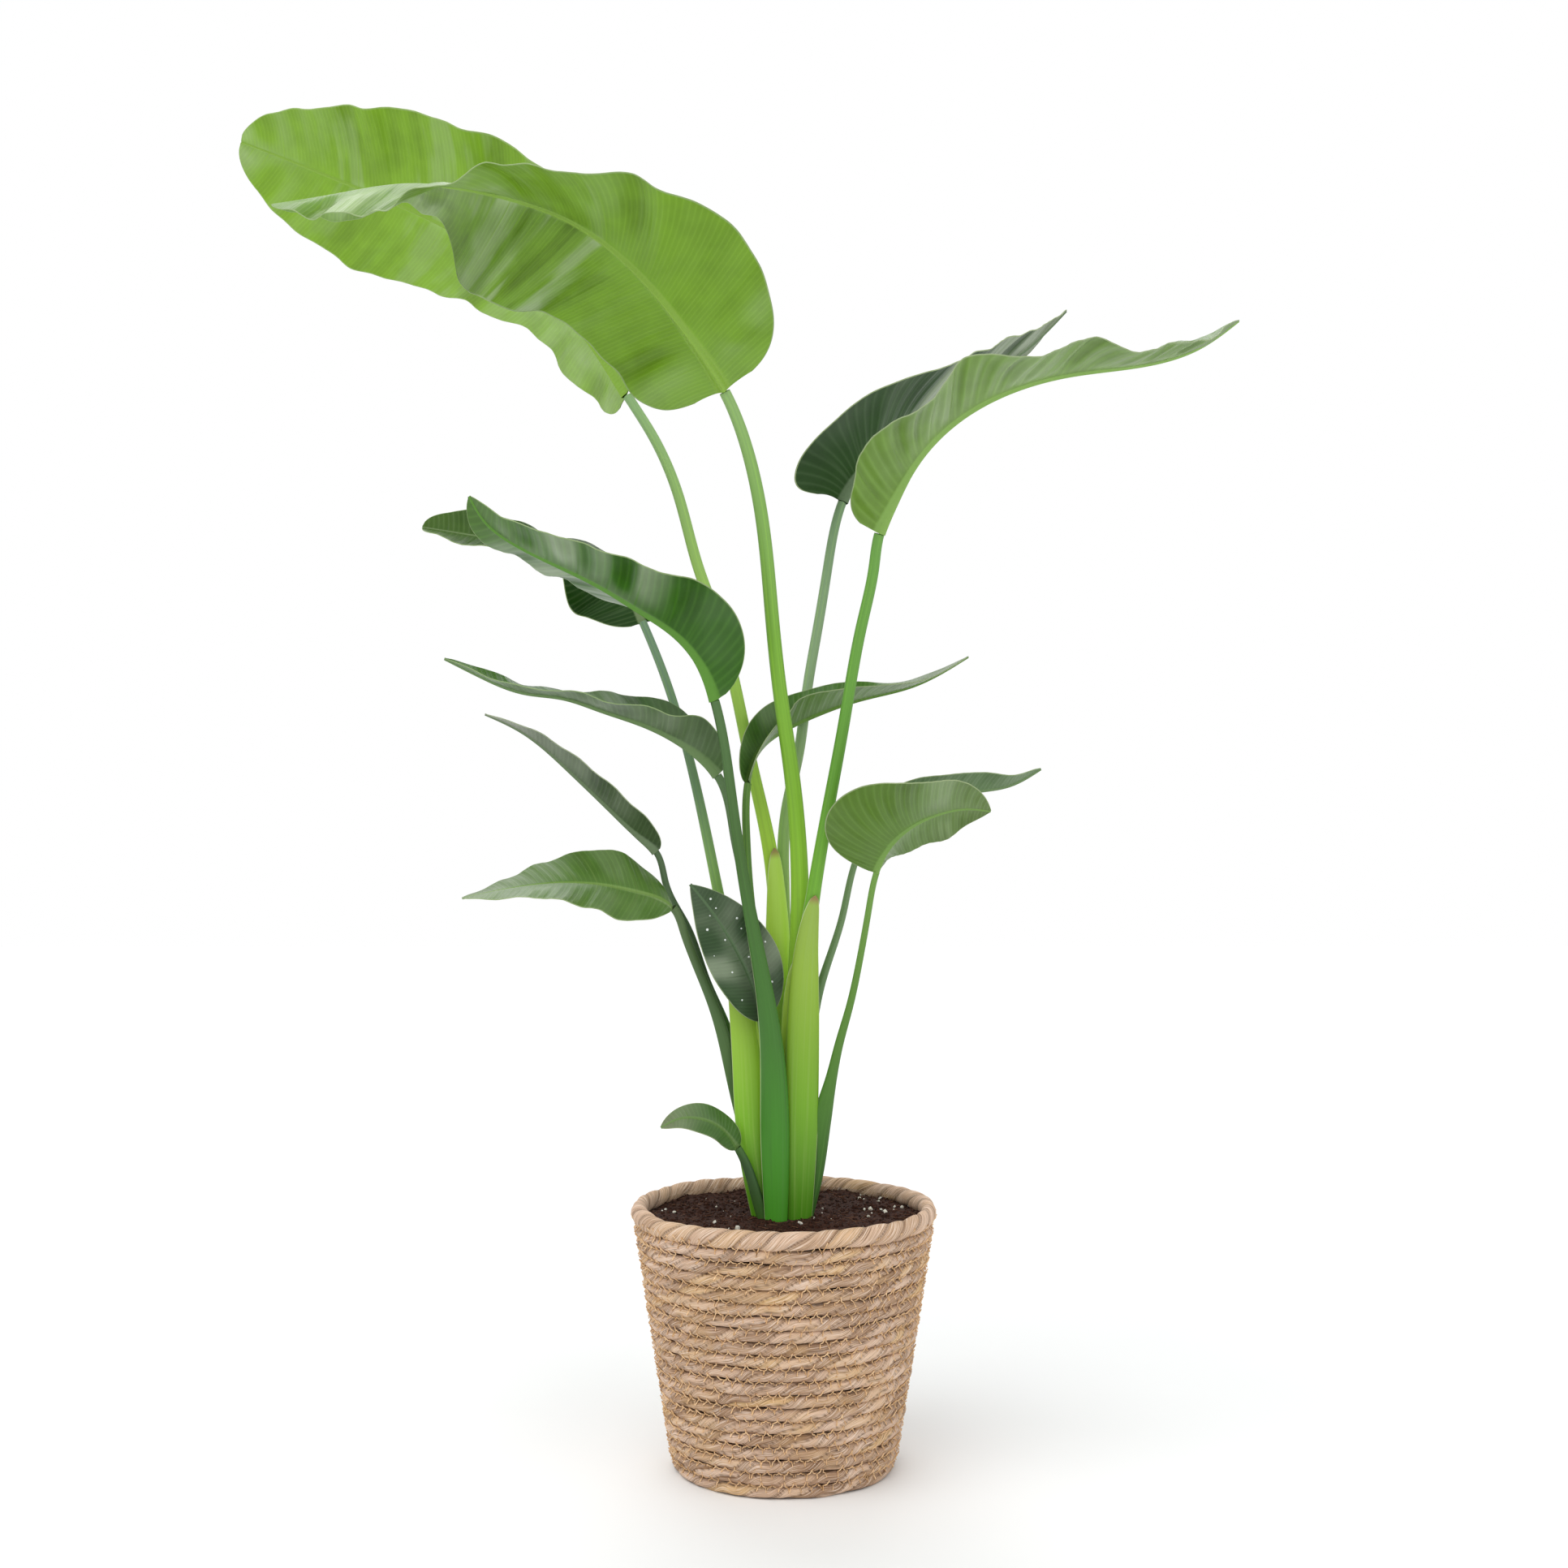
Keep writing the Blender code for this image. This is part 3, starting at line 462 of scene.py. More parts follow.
class Shade:
    """A material being wired: its nodes end in one Principled BSDF."""

    def __init__(self, name):
        self.material = bpy.data.materials.new(name)
        self.material.use_nodes = True
        self.tree = self.material.node_tree
        self.shader = self.tree.nodes["Principled BSDF"]

    def node(self, kind, **values):
        node = self.tree.nodes.new(kind)
        for key, value in values.items():
            setattr(node, key, value)
        return node

    def put(self, socket, value):
        """Links the value to the socket, or sets it there."""
        if isinstance(value, bpy.types.NodeSocket):
            self.tree.links.new(value, socket)
        elif isinstance(value, tuple) and len(value) == 3 and socket.type == "RGBA":
            socket.default_value = (*value, 1.0)
        else:
            socket.default_value = value

    def math(self, operation, a, b=0.0):
        node = self.node("ShaderNodeMath", operation=operation)
        self.put(node.inputs[0], a)
        self.put(node.inputs[1], b)
        return node.outputs[0]

    def times(self, first, *others):
        """The product of the values."""
        for other in others:
            first = self.math("MULTIPLY", first, other)
        return first

    def scaled(self, value, scale, add):
        """The value times scale, plus add."""
        out = self.math("MULTIPLY_ADD", value, scale)
        out.node.inputs[2].default_value = add
        return out

    def mix(self, share, a, b):
        node = self.node("ShaderNodeMix", data_type="RGBA")
        self.put(node.inputs["Factor"], share)
        self.put(node.inputs[6], a)
        self.put(node.inputs[7], b)
        return node.outputs[2]

    def lay(self, under, colour, *shares):
        """A colour laid over another, as far as the product of the shares."""
        return self.mix(self.times(*shares), under, colour)

    def uv(self):
        """The two coordinates of the surface map."""
        node = self.node("ShaderNodeUVMap", uv_map="surface")
        split = self.node("ShaderNodeSeparateXYZ")
        self.put(split.inputs[0], node.outputs[0])
        return split.outputs[0], split.outputs[1]

    def vector(self, x, y=0.0, z=0.0):
        node = self.node("ShaderNodeCombineXYZ")
        for socket, value in zip(node.inputs, (x, y, z)):
            self.put(socket, value)
        return node.outputs[0]

    def mark(self, name):
        """A float that the mesh's points carry."""
        return self.node("ShaderNodeAttribute", attribute_name=name).outputs["Fac"]

    def place(self):
        return self.node("ShaderNodeTexCoord").outputs["Object"]

    def noise(self, vector, scale, detail=3.0, rough=0.5):
        node = self.node("ShaderNodeTexNoise")
        self.put(node.inputs["Vector"], vector)
        node.inputs["Scale"].default_value = scale
        node.inputs["Detail"].default_value = detail
        node.inputs["Roughness"].default_value = rough
        return node.outputs["Fac"]

    def grain(self, x, times_x, y, times_y, detail=3.0, rough=0.5):
        """Noise stretched over a surface."""
        place = self.vector(self.times(x, times_x), self.times(y, times_y))
        return self.noise(place, 1.0, detail, rough)

    def step(self, value, low, high):
        """0 at low and 1 at high, with a soft start and end."""
        node = self.node("ShaderNodeMapRange", interpolation_type="SMOOTHSTEP")
        self.put(node.inputs["Value"], value)
        node.inputs["From Min"].default_value = low
        node.inputs["From Max"].default_value = high
        return node.outputs["Result"]

    def window(self, value, low, high, before, after):
        """1 from low to high, fading out over before and reached after."""
        return self.times(self.step(value, low - before, low + after),
                          self.step(value, high + before, high - after))

    def ramp(self, value, stops):
        node = self.node("ShaderNodeValToRGB")
        self.put(node.inputs[0], value)
        elements = node.color_ramp.elements
        while len(elements) < len(stops):
            elements.new(0.5)
        for element, (at, colour) in zip(elements, stops):
            element.position = at
            element.color = (*colour, 1.0)
        return node.outputs[0]

    def bump(self, height, strength, distance):
        node = self.node("ShaderNodeBump")
        self.put(node.inputs["Height"], height)
        node.inputs["Strength"].default_value = strength
        node.inputs["Distance"].default_value = distance
        self.put(self.shader.inputs["Normal"], node.outputs[0])

    def finish(self, colour, rough, specular=0.5):
        self.put(self.shader.inputs["Base Color"], colour)
        self.put(self.shader.inputs["Roughness"], rough)
        self.shader.inputs["Specular IOR Level"].default_value = specular
        return self.material


def blend(a, b, share):
    """Colour a with a share of colour b."""
    return tuple((1 - share) * x + share * y for x, y in zip(a, b))


def tinted(colour, by, more=0.0):
    """A lighter or darker version of a colour."""
    return tuple(min(1.0, c * by + more) for c in colour)


def vein_lines(m, along_m, wander, pitch, sharpness):
    """Lines across the blade, one at every pitch."""
    turn = m.math("ADD", m.times(along_m, 2 * math.pi / pitch), wander)
    return m.math("POWER", m.scaled(m.math("SINE", turn), 0.5, 0.5), sharpness)


def leaf_material(name, look):
    """Leaf green with painted sheen and painted shade, flecks, veins, rib and hem."""
    m = Shade(f"leaf_{name}")
    along_m, across = m.uv()
    v = m.math("ABSOLUTE", m.scaled(across, 2.0, -1.0))
    share, crest, place = m.mark("share"), m.mark("crest"), m.place()
    down = look["down"]
    # A darker green for the flecks and for painted shade, and a light greyish green for painted
    # sheen.
    dark, painted_sheen_colour = tinted(down, 0.5), blend(down, (0.62, 0.70, 0.52), 0.65)
    body = m.mix(m.mark("upper"), down, look["up"])
    body = m.lay(body, look["tip"], m.step(share, 0.45, 1.0), 0.75)
    # Clouds of painted sheen: a painted reflection laid on as a greyish green.
    cloud = m.noise(place, 9.0, 3.0)
    cloud_sheen_grey = blend(down, (0.36, 0.40, 0.33), 0.65)
    body = m.lay(body, cloud_sheen_grey, m.step(cloud, 0.46, 0.68), look["sheen_clouds"], 0.6)
    # Painted sheen on the crests of the folds, and painted shade between them.
    shine = m.times(m.step(crest, 0.32, 0.75), m.step(m.noise(place, 17.0, 2.0), 0.2, 0.5))
    for low, high, much in look["sheen_bands"]:
        body = m.lay(body, painted_sheen_colour, m.window(share, low, high, 0.1, 0.08), shine, much)
    body = m.lay(body, dark, m.step(crest, 0.45, 0.05), 0.65)
    # Painted highlight stripes along the veins, with painted shade stripes between them.
    if "streaks" in look:
        low, high, one, other = look["streaks"]
        half = m.mix(m.step(across, 0.49, 0.51), (one,) * 3, (other,) * 3)
        inside = m.times(m.window(share, low, high, 0.15, 0.1), half)
        streak = m.grain(along_m, 34.0, v, 0.5)
        body = m.lay(body, painted_sheen_colour, inside, m.step(streak, 0.50, 0.60))
        body = m.lay(body, tinted(down, 0.42), inside, m.step(streak, 0.48, 0.38))
    # Painted shade in a patch, where layers of the leaf overlap.
    if "shade" in look:
        low, high, much = look["shade"]
        patch = m.step(m.noise(place, 11.0, 2.0), 0.3, 0.6)
        body = m.lay(body, dark, m.window(share, low, high, 0.12, 0.08), patch, much)
    fleck = m.noise(place, 38.0, 3.0)
    body = m.lay(body, tinted(down, 1.45, 0.01), m.step(fleck, 0.35, 0.75), 0.22)
    body = m.lay(body, dark, m.step(fleck, 0.6, 0.25), 0.20)
    # Broad veins that fade out before the margin, and fine ones between them.
    spacing = look["pleat"][0] * MM
    wander = m.times(m.noise(place, 14.0, 1.0), 2.2)
    broad = vein_lines(m, along_m, wander, spacing * 1.6, 60.0)
    fine = vein_lines(m, along_m, wander, spacing / 2.6, 3.0)
    pale = blend(down, look["rib"], 0.45)
    body = m.lay(body, pale, broad, m.step(v, 1.0, 0.05), 0.6)
    depth = m.times(m.step(v, 0.02, 0.12), 0.3)
    body = m.lay(body, pale, fine, depth)
    body = m.lay(body, tinted(down, 0.72), m.math("SUBTRACT", 1.0, fine), depth)
    body = m.lay(body, look["rib"], m.step(m.mark("from_rib"), 1.9, 1.0), 0.9)
    hem = blend(look["tip"], (0.55, 0.66, 0.36), 0.5)
    body = m.lay(body, hem, m.step(v, 0.985, 0.998), 0.85)
    m.bump(m.math("ADD", m.times(fine, 0.5), m.times(fleck, 0.6)), 0.35, 0.6 * MM)
    return m.finish(body, m.scaled(m.step(cloud, 0.3, 0.7), 0.14, 0.28), look.get("gloss", 0.3))


def stalk_material(name, look):
    """Four tones from soil to joint, with streaks along the stalk."""
    m = Shade(f"stalk_{name}")
    around, up = m.uv()
    share = m.mark("share")
    low, mid, high, top = look["stalk"]
    body = m.ramp(share, ((0.0, low), (0.35, mid), (0.7, high), (1.0, top)))
    streak = m.grain(around, 22.0, up, 5.0)
    body = m.lay(body, tinted(mid, 1.5, 0.03), m.step(streak, 0.5, 0.8), 0.4)
    body = m.lay(body, tinted(high, 0.6), m.step(streak, 0.5, 0.2), 0.35)
    if look.get("edge"):
        off = m.math("ABSOLUTE", m.math("SUBTRACT", around, 0.5))
        body = m.lay(body, (0.62, 0.74, 0.42), m.step(off, 0.035, 0.012), m.step(share, 0.62, 0.5))
    m.bump(streak, 0.3, 0.6 * MM)
    return m.finish(body, m.scaled(streak, 0.2, 0.5), 0.5)


def sheath_material(name, tone):
    """Pale green with streaks, a light hem and a dry brown point."""
    m = Shade(f"sheath_{name}")
    around, up = m.uv()
    share = m.mark("share")
    stops = ((0.0, (0.09, 0.34, 0.006)), (0.35, (0.24, 0.54, 0.02)), (0.75, (0.40, 0.64, 0.06)),
             (1.0, (0.42, 0.62, 0.10)))
    body = m.ramp(share, [(at, tuple(tone * c for c in colour)) for at, colour in stops])
    streak = m.grain(around, 18.0, up, 6.0)
    pale = (0.42 * tone, 0.64 * tone, 0.10)
    body = m.lay(body, pale, m.step(streak, 0.45, 0.8), 0.45)
    to_hem = m.math("SUBTRACT", m.mark("room"), m.mark("hem"))
    body = m.lay(body, (0.66, 0.74, 0.42), m.step(to_hem, 0.06, 0.01), 0.85)
    body = m.lay(body, (0.30, 0.17, 0.07), m.step(share, 0.965, 0.995), 0.9)
    m.bump(streak, 0.3, 0.6 * MM)
    return m.finish(body, 0.4, 0.4)


def rope_material(name, gold, pale):
    """Seagrass: each strand has its own tone, with fibres along it and painted shade in creases."""
    m = Shade(name)
    across, along_m = m.uv()
    pick = m.node("ShaderNodeTexWhiteNoise", noise_dimensions="1D")
    m.put(pick.inputs["W"], m.math("FLOOR", across))
    body = m.ramp(pick.outputs["Value"], (
        (0.0, (0.42, 0.25, 0.145)), (0.3, (0.60, 0.39, 0.25)), (0.55, (0.72, 0.49, 0.34)),
        (0.8, pale), (1.0, gold)))
    fibre = m.grain(across, 19.0, along_m, 38.0, 5.0, 0.62)
    # Pale fibres, partly the straw's own light streaks and partly a painted highlight, then dark
    # fibres.
    body = m.lay(body, (0.97, 0.80, 0.67), m.step(fibre, 0.5, 0.64), 0.85)
    body = m.lay(body, (0.19, 0.10, 0.05), m.step(fibre, 0.48, 0.34), 0.85)
    body = m.lay(body, gold, m.step(m.noise(m.place(), 22.0, 2.0), 0.52, 0.7), 0.30)
    # Painted shade in the creases between the strands.
    body = m.lay(body, (0.12, 0.06, 0.03), m.mark("crease"), 0.9)
    m.bump(fibre, 0.9, 1.6 * MM)
    return m.finish(body, 0.78, 0.3)


def grain_material(name, dark, light, scale):
    """A rough matt stuff of two tones."""
    m = Shade(name)
    grain = m.noise(m.place(), scale, 5.0, 0.65)
    body = m.ramp(grain, ((0.3, dark), (0.7, light)))
    m.bump(grain, 0.6, 1.0 * MM)
    return m.finish(body, 0.9, 0.25)


# ---------------------------------------------------------------- leaves


def blade_relief(name, look, s, v, width, vein):
    """How far pleats and broad folds lift the blade, and how near to a crest each point is."""
    pitch, height = look["pleat"][0] * MM, look["pleat"][1] * MM
    draw = np.random.default_rng(sum(map(ord, name)))
    drift = 0.9 * np.sin(2 * math.pi * vein / (6.1 * pitch) + draw.uniform(0, 6))
    part = smooth(0.04, 0.4, np.abs(v)) * np.clip(width / (30 * MM) - 0.2, 0, 1)
    pleat = height * part * (np.sin(2 * math.pi * vein / pitch + drift)
                             + 0.3 * np.sin(2 * math.pi * vein / (0.37 * pitch) + drift * 2))
    # Broad folds that run out along the veins, different on the two halves.
    fold = np.zeros_like(vein)
    for wave, share in ((31, 0.35), (47, 0.6), (73, 0.9)):
        for half in (v < 0, v >= 0):
            start = draw.uniform(0, 2 * math.pi)
            fold += share * half * np.sin(2 * math.pi * vein / (wave * MM) + start)
    fold *= look["fold"] * MM * smooth(0.05, 0.6, np.abs(v)) \
        * np.clip(width / (50 * MM), 0, 1) * smooth(0.0, 0.12, s)[:, None]
    # Only pleats deeper than 0.6 mm show as crests of their own.
    sharp = 0.25 * max(0.0, look["pleat"][1] - 0.6)
    crest = np.clip(0.5 - 0.30 * fold / (look["fold"] * MM) - sharp * pleat / height, 0, 1)
    pleat *= 1 - 0.7 * smooth(0.85, 1.0, np.abs(v))
    return pleat + fold, crest


def blade(name, leaf, look):
    """The blade as two faces with a rib beneath, and a fine rounded margin."""
    _, joint, end = leaf_axis(leaf)
    length = end - joint
    rows = int(np.clip(length / (1.6 * MM), 90, 260)) // 1
    half = 34
    s = 0.004 + 0.996 * np.linspace(0, 1, rows) ** 1.15
    u = np.linspace(0, 1, half) ** 1.4
    v = np.concatenate([-u[:0:-1], [0.0], u[1:]])
    point, normal, width = blade_surface(leaf, s, v)
    width = width[:, None] * np.where(v < 0, 1.0, leaf["right"][2] / leaf["left"][2])
    reach = np.abs(v) * width
    near_rib = smooth(0.0, 4 * MM, reach)[..., None]
    normal = normal * near_rib + normal[:, len(v) // 2][:, None] * (1 - near_rib)
    normal /= np.linalg.norm(normal, axis=2)[..., None]
    # Distance along the veins, which run from the rib towards the tip and curve as they go.
    vein = s[:, None] * length - 0.12 * width * v ** 2
    lift, crest = blade_relief(name, look, s, v, width, vein)
    point = point + normal * lift[..., None]
    root = leaf["stalk"][-1][4] * MM
    rib = np.interp(s, [0, 0.15, 1], [root, 0.62 * root, 0.7 * MM])[:, None]
    swell = np.exp(-(reach / (0.85 * rib)) ** 2)
    upper = point - normal * (0.25 * rib * swell)[..., None]
    lower = point - normal * (0.75 * MM + 1.45 * rib * swell)[..., None]
    # A thin tube along each margin rounds it off.
    radius = np.interp(s, [0, 0.03, 0.97, 1], [0.2, 0.42, 0.42, 0.3]) * MM
    hems = [tube((upper[:, side] + lower[:, side]) / 2, radius) for side in (0, -1)]
    n, m, k = len(s), len(v), hems[0].shape[1]
    points = np.concatenate([p.reshape(-1, 3) for p in (upper, lower, *hems)])
    faces = [grid_faces(n, m), grid_faces(n, m, start=n * m, flip=True)]
    faces += [grid_faces(n, k, wrap_cols=True, start=2 * n * m + i * n * k) for i in (0, 1)]
    uv = np.stack([vein, np.broadcast_to((v + 1) / 2, vein.shape)], axis=-1).reshape(-1, 2)
    hem_uv = [np.stack([np.broadcast_to(vein[:, j][:, None], (n, k)),
                        np.full((n, k), float(j != 0))], axis=-1).reshape(-1, 2)
              for j in (0, -1)]
    share = np.broadcast_to(s[:, None], (n, m)).ravel()
    from_rib = (reach / rib).ravel()
    crest = crest.ravel()
    marks = {
        "share": np.concatenate([share, share] + [np.repeat(s, k)] * 2),
        "from_rib": np.concatenate([from_rib * 1.15, from_rib, np.full(2 * n * k, 9.0)]),
        "upper": np.concatenate([np.ones(n * m), np.zeros(n * m), np.full(2 * n * k, 0.5)]),
        "crest": np.concatenate([1 - crest, crest, np.full(2 * n * k, 0.5)]),
    }
    obj = mesh_object(f"{name}_blade", points, np.concatenate(faces),
                      np.concatenate([uv, uv] + hem_uv), marks)
    obj.data.materials.append(leaf_material(name, look))
    return obj


def section(leaf, q):
    """Centre, cross directions and half sizes of the stalk at distances q along it."""
    at, _, _ = leaf_axis(leaf)
    _, knots = spline(np.array([p[:3] for p in leaf["stalk"]], float) * MM)
    t = tangent(at, np.clip(q, 1 * MM, None))
    t[0] = (0, 0, 1)
    share = np.interp(q, knots, np.linspace(0, 1, len(knots)))
    wide = along([p[3] for p in leaf["stalk"]], share) * MM * (1 + 0.16 * smooth(0.5, 0.1, share))
    deep = along([p[4] for p in leaf["stalk"]], share) * MM
    across = np.cross((0.0, 1.0, 0.0), t)
    across /= np.linalg.norm(across, axis=1)[:, None]
    return at(q), across, np.cross(t, across), wide, deep


def sheath(name, leaf, top, aim, spread, fuller, tone):
    """A sheath that clasps the foot of a stalk and ends in a dry point at height top."""
    rows, cols = 80, 25
    h = np.linspace(0, 1, rows)
    centre, across, back, wide, deep = section(leaf, h * top)
    u = np.linspace(-1, 1, cols)[None, :]
    span = (math.radians(spread) * np.sqrt(np.clip(1 - h ** 5, 0, 1)) + 0.02)[:, None]
    angle = math.radians(aim) + span * u + math.radians(28) * (h ** 3)[:, None]
    fuller = 1 + (fuller - 1) * smooth(1.0, 0.75, h)
    layers = []
    for lift in (1.1, 0.5):
        open_out = lift * MM + 1.2 * MM * smooth(0.8, 1.0, h)
        x = (wide * fuller + open_out)[:, None] * np.cos(angle)
        y = (deep + open_out)[:, None] * np.sin(angle)
        layers.append(centre[:, None] + x[..., None] * across[:, None]
                      + y[..., None] * back[:, None])
    uv = np.stack([np.broadcast_to((u + 1) / 2, angle.shape),
                   np.broadcast_to((h * top)[:, None], angle.shape)], axis=-1).reshape(-1, 2)
    room = np.broadcast_to(span, angle.shape) / math.radians(spread)
    marks = {"share": np.tile(np.repeat(h, cols), 2),
             "hem": np.tile((np.abs(u) * room).ravel(), 2),
             "room": np.tile(room.ravel(), 2)}
    faces = np.concatenate([grid_faces(rows, cols),
                            grid_faces(rows, cols, start=rows * cols, flip=True)])
    obj = mesh_object(f"{name}_sheath", np.concatenate([p.reshape(-1, 3) for p in layers]), faces,
                      np.concatenate([uv, uv]), marks)
    obj.data.materials.append(sheath_material(name, tone))
    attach(obj, "root")


def stalk(name, leaf, look):
    """The stalk: a round petiole above, and below it a sheath that curls round the clump."""
    _, joint, _ = leaf_axis(leaf)
    rows, around = ((150, 36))
    q = np.linspace(0, joint + 1.5 * MM, rows)
    centre, across, back, wide, deep = section(leaf, q)
    turn = np.linspace(0, 2 * math.pi, around + 1)
    ridge = 1 + 0.018 * np.sin(7 * turn) + 0.012 * np.sin(13 * turn + 1)
    x = wide[:, None] * (np.cos(turn) * ridge)[None, :]
    y = deep[:, None] * (np.sin(turn) * ridge)[None, :]
    # The sheath's edges bend back round whatever it holds.
    flat = np.clip(wide / deep - 1.15, 0, 1.6)
    inward = 1.0 if centre[0, 1] < CROWN[1] else -1.0
    y = y + inward * (flat * 0.17 / (wide + 1e-6))[:, None] * x * x
    ring = centre[:, None] + x[..., None] * across[:, None] + y[..., None] * back[:, None]
    height = np.broadcast_to(q[:, None], ring.shape[:2])
    uv = np.stack([np.broadcast_to(turn / (2 * math.pi), height.shape), height], axis=-1)
    marks = {"share": np.broadcast_to((q / joint)[:, None], height.shape)}
    obj = mesh_object(f"{name}_stalk", ring, grid_faces(rows, around + 1), uv, marks)
    obj.data.materials.append(stalk_material(name, look))
    return obj


# ---------------------------------------------------------------- basket


def rope(radius, height, half, strands, ply, row, draw, steps=14, sides=18, stray=1.0):
    """One row of twisted rope: points, UVs (strand count across, metres along) and creases."""
    half_w, half_h = half
    n = strands * steps // 1
    turn = np.linspace(0, 2 * math.pi, n + 1)[:, None]
    phi = np.linspace(-math.pi, math.pi, sides + 1)[None, :]
    warp = stray * sum(draw.uniform(0.05, 0.22) * np.sin(k * turn + draw.uniform(0, 6.28))
                       for k in (3, 5, 8, 13, 21))
    across = strands * turn / (2 * math.pi) - ply * phi / (2 * math.pi) + warp
    crest = np.abs(np.sin(math.pi * across))
    puff = 0.84 + 0.20 * crest ** 0.55
    wobble = sum(draw.uniform(0.1, 0.4) * MM * np.sin(k * turn + draw.uniform(0, 6.28))
                 for k in (2, 3, 5, 9, 14))
    sag = sum(draw.uniform(0.1, 0.45) * MM * np.sin(k * turn + draw.uniform(0, 6.28))
              for k in (2, 4, 7, 11))
    puff = puff * (1 + sum(draw.uniform(0.01, 0.05) * np.sin(k * turn + draw.uniform(0, 6.28))
                           for k in (3, 6, 10, 17)))
    r = radius + wobble + half_w * puff * np.cos(phi)
    z = height + sag + half_h * puff * np.sin(phi)
    points = np.stack([r * np.cos(turn), r * np.sin(turn), z + 0 * turn], axis=-1)
    uv = np.stack([across + 50 * row, radius * turn + 0 * phi + row], axis=-1)
    return points, uv, (1 - crest) ** 6


def rope_object(name, node, rows, material):
    """Some rows of rope as one piece in place of a node."""
    points, uvs, creases, faces, start = [], [], [], [], 0
    for p, uv, crease in rows:
        n, m = p.shape[:2]
        faces.append(grid_faces(n, m, start=start, flip=True))
        start += n * m
        points.append(p.reshape(-1, 3))
        uvs.append(uv.reshape(-1, 2))
        creases.append(crease.ravel())
    obj = mesh_object(name, np.concatenate(points), np.concatenate(faces), np.concatenate(uvs),
                      {"crease": np.concatenate(creases)})
    obj.data.materials.append(material)
    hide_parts(node)
    return obj


def row_place(row):
    """Centre radius and height of a rope row of the wall."""
    z = (row + 0.5) * ROW_H
    tuck = 7 * MM * max(0.0, 1 - z / (9 * MM)) ** 2
    return wall_radius(z) - tuck - 5.4 * MM, z


def wall(draw, straw):
    """The rows of rope, from the foot to the roll, as three pieces."""
    rows = []
    for row in range(ROWS):
        r, z = row_place(row)
        strands = int(round(2 * math.pi * r / STRAND)) + int(draw.integers(-2, 3))
        if row == 0:
            z += 0.2 * MM
        rows.append(rope(r, z, ROPE_HALF, strands, 3, row, draw))
    return [rope_object(f"rope_wall_{part}", "basket_wall", rows[low:high], straw)
            for part, low, high in ((1, 0, 6), (2, 6, 13), (3, 13, ROWS))]


def rim(draw):
    """A roll of rope that is thicker than the rows and more even."""
    wrap = rope_material("rim_wrap", (0.72, 0.47, 0.27), (0.74, 0.51, 0.36))
    half_w, half_h = RIM_HALF
    roll = rope(RIM_R, RIM_TOP - half_h - 0.3 * MM, (half_w, half_h + 0.9 * MM), 34, 2, 30, draw,
                steps=20, sides=28, stray=0.35)
    return rope_object("rope_rim", "basket_rim", [roll], wrap)


def base(draw, straw):
    """One flat coil of the same rope as the wall."""
    coils = []
    radius = FOOT_R - WALL_T - 4.5 * MM
    while radius > 6 * MM:
        strands = max(3, int(2 * math.pi * radius / STRAND))
        coils.append(rope(radius, 4.7 * MM, BASE_HALF, strands, 3, 60 + len(coils), draw, sides=12))
        radius -= BASE_STEP
    return rope_object("rope_base", "basket_base", coils, straw)


def basket():
    """Every piece of the basket."""
    draw = np.random.default_rng(11)
    straw = rope_material("seagrass", (0.78, 0.50, 0.22), (0.84, 0.60, 0.44))
    for piece in (*wall(draw, straw), rim(draw), base(draw, straw), stitches(draw)):
        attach(piece, "root")


def stitch_path(low, high, start, stop, reach, draw):
    """From the upper side of the lower row to the under side of the one above."""
    out_r, out_z = STITCH_OUT
    path = []
    for f in np.linspace(0.0, 1.0, THREAD[0]):
        angle = start + (stop - start) * f + draw.normal(0, 0.0012)
        if f < 0.4:
            phi = math.radians(80 - (80 - reach) * (1 - f / 0.4))
            r, z = low[0] + out_r * math.cos(phi), low[1] + out_z * math.sin(phi)
        elif f > 0.6:
            phi = math.radians(-80 + (80 - reach) * ((f - 0.6) / 0.4))
            r, z = high[0] + out_r * math.cos(phi), high[1] + out_z * math.sin(phi)
        else:
            r, z = (low[0] + high[0]) / 2 + 4.6 * MM, (low[1] + high[1]) / 2
        path.append((r * math.cos(angle), r * math.sin(angle), z))
    return path


def stitches(draw):
    """Thin raffia thread that zigzags over the gap between each row and the next."""
    tubes = []
    for gap in range(ROWS):
        low = row_place(gap)
        high = row_place(gap + 1) if gap + 1 < ROWS else (RIM_R + 0.4 * MM, RIM_TOP - RIM_HALF[1])
        count = int(2 * math.pi * low[0] / STITCH_STEP)
        turn = 2 * math.pi * np.arange(count) / count
        busy = 0.5 + 0.5 * np.sin(2 * turn + gap * 1.9) * np.sin(5 * turn + gap)
        for k in range(count):
            if draw.random() < 0.18 - 0.16 * busy[k]:
                continue
            a, b = turn[k], turn[k] + draw.uniform(0.7, 1.25) * 2 * math.pi / count
            if k % 2:
                a, b = b, a
            path = stitch_path(low, high, a, b, draw.uniform(2, 42), draw)
            tubes.append(tube(path, draw.uniform(0.40, 0.62) * MM, THREAD[1]))
    m = Shade("raffia")
    tone = m.noise(m.place(), 160.0, 2.0)
    colour = m.ramp(tone, ((0.3, (0.66, 0.39, 0.17)), (0.7, (0.98, 0.70, 0.42))))
    return threads_object("raffia_stitches", tubes, m.finish(colour, 0.6, 0.4))


def threads_object(name, tubes, material):
    """Many short tubes of THREAD points and sides as one mesh."""
    steps, sides = THREAD
    faces = [grid_faces(steps, sides, wrap_cols=True, start=steps * sides * i)
             for i in range(len(tubes))]
    obj = mesh_object(name, np.concatenate([p.reshape(-1, 3) for p in tubes]),
                      np.concatenate(faces))
    obj.data.materials.append(material)
    return obj


# ---------------------------------------------------------------- soil


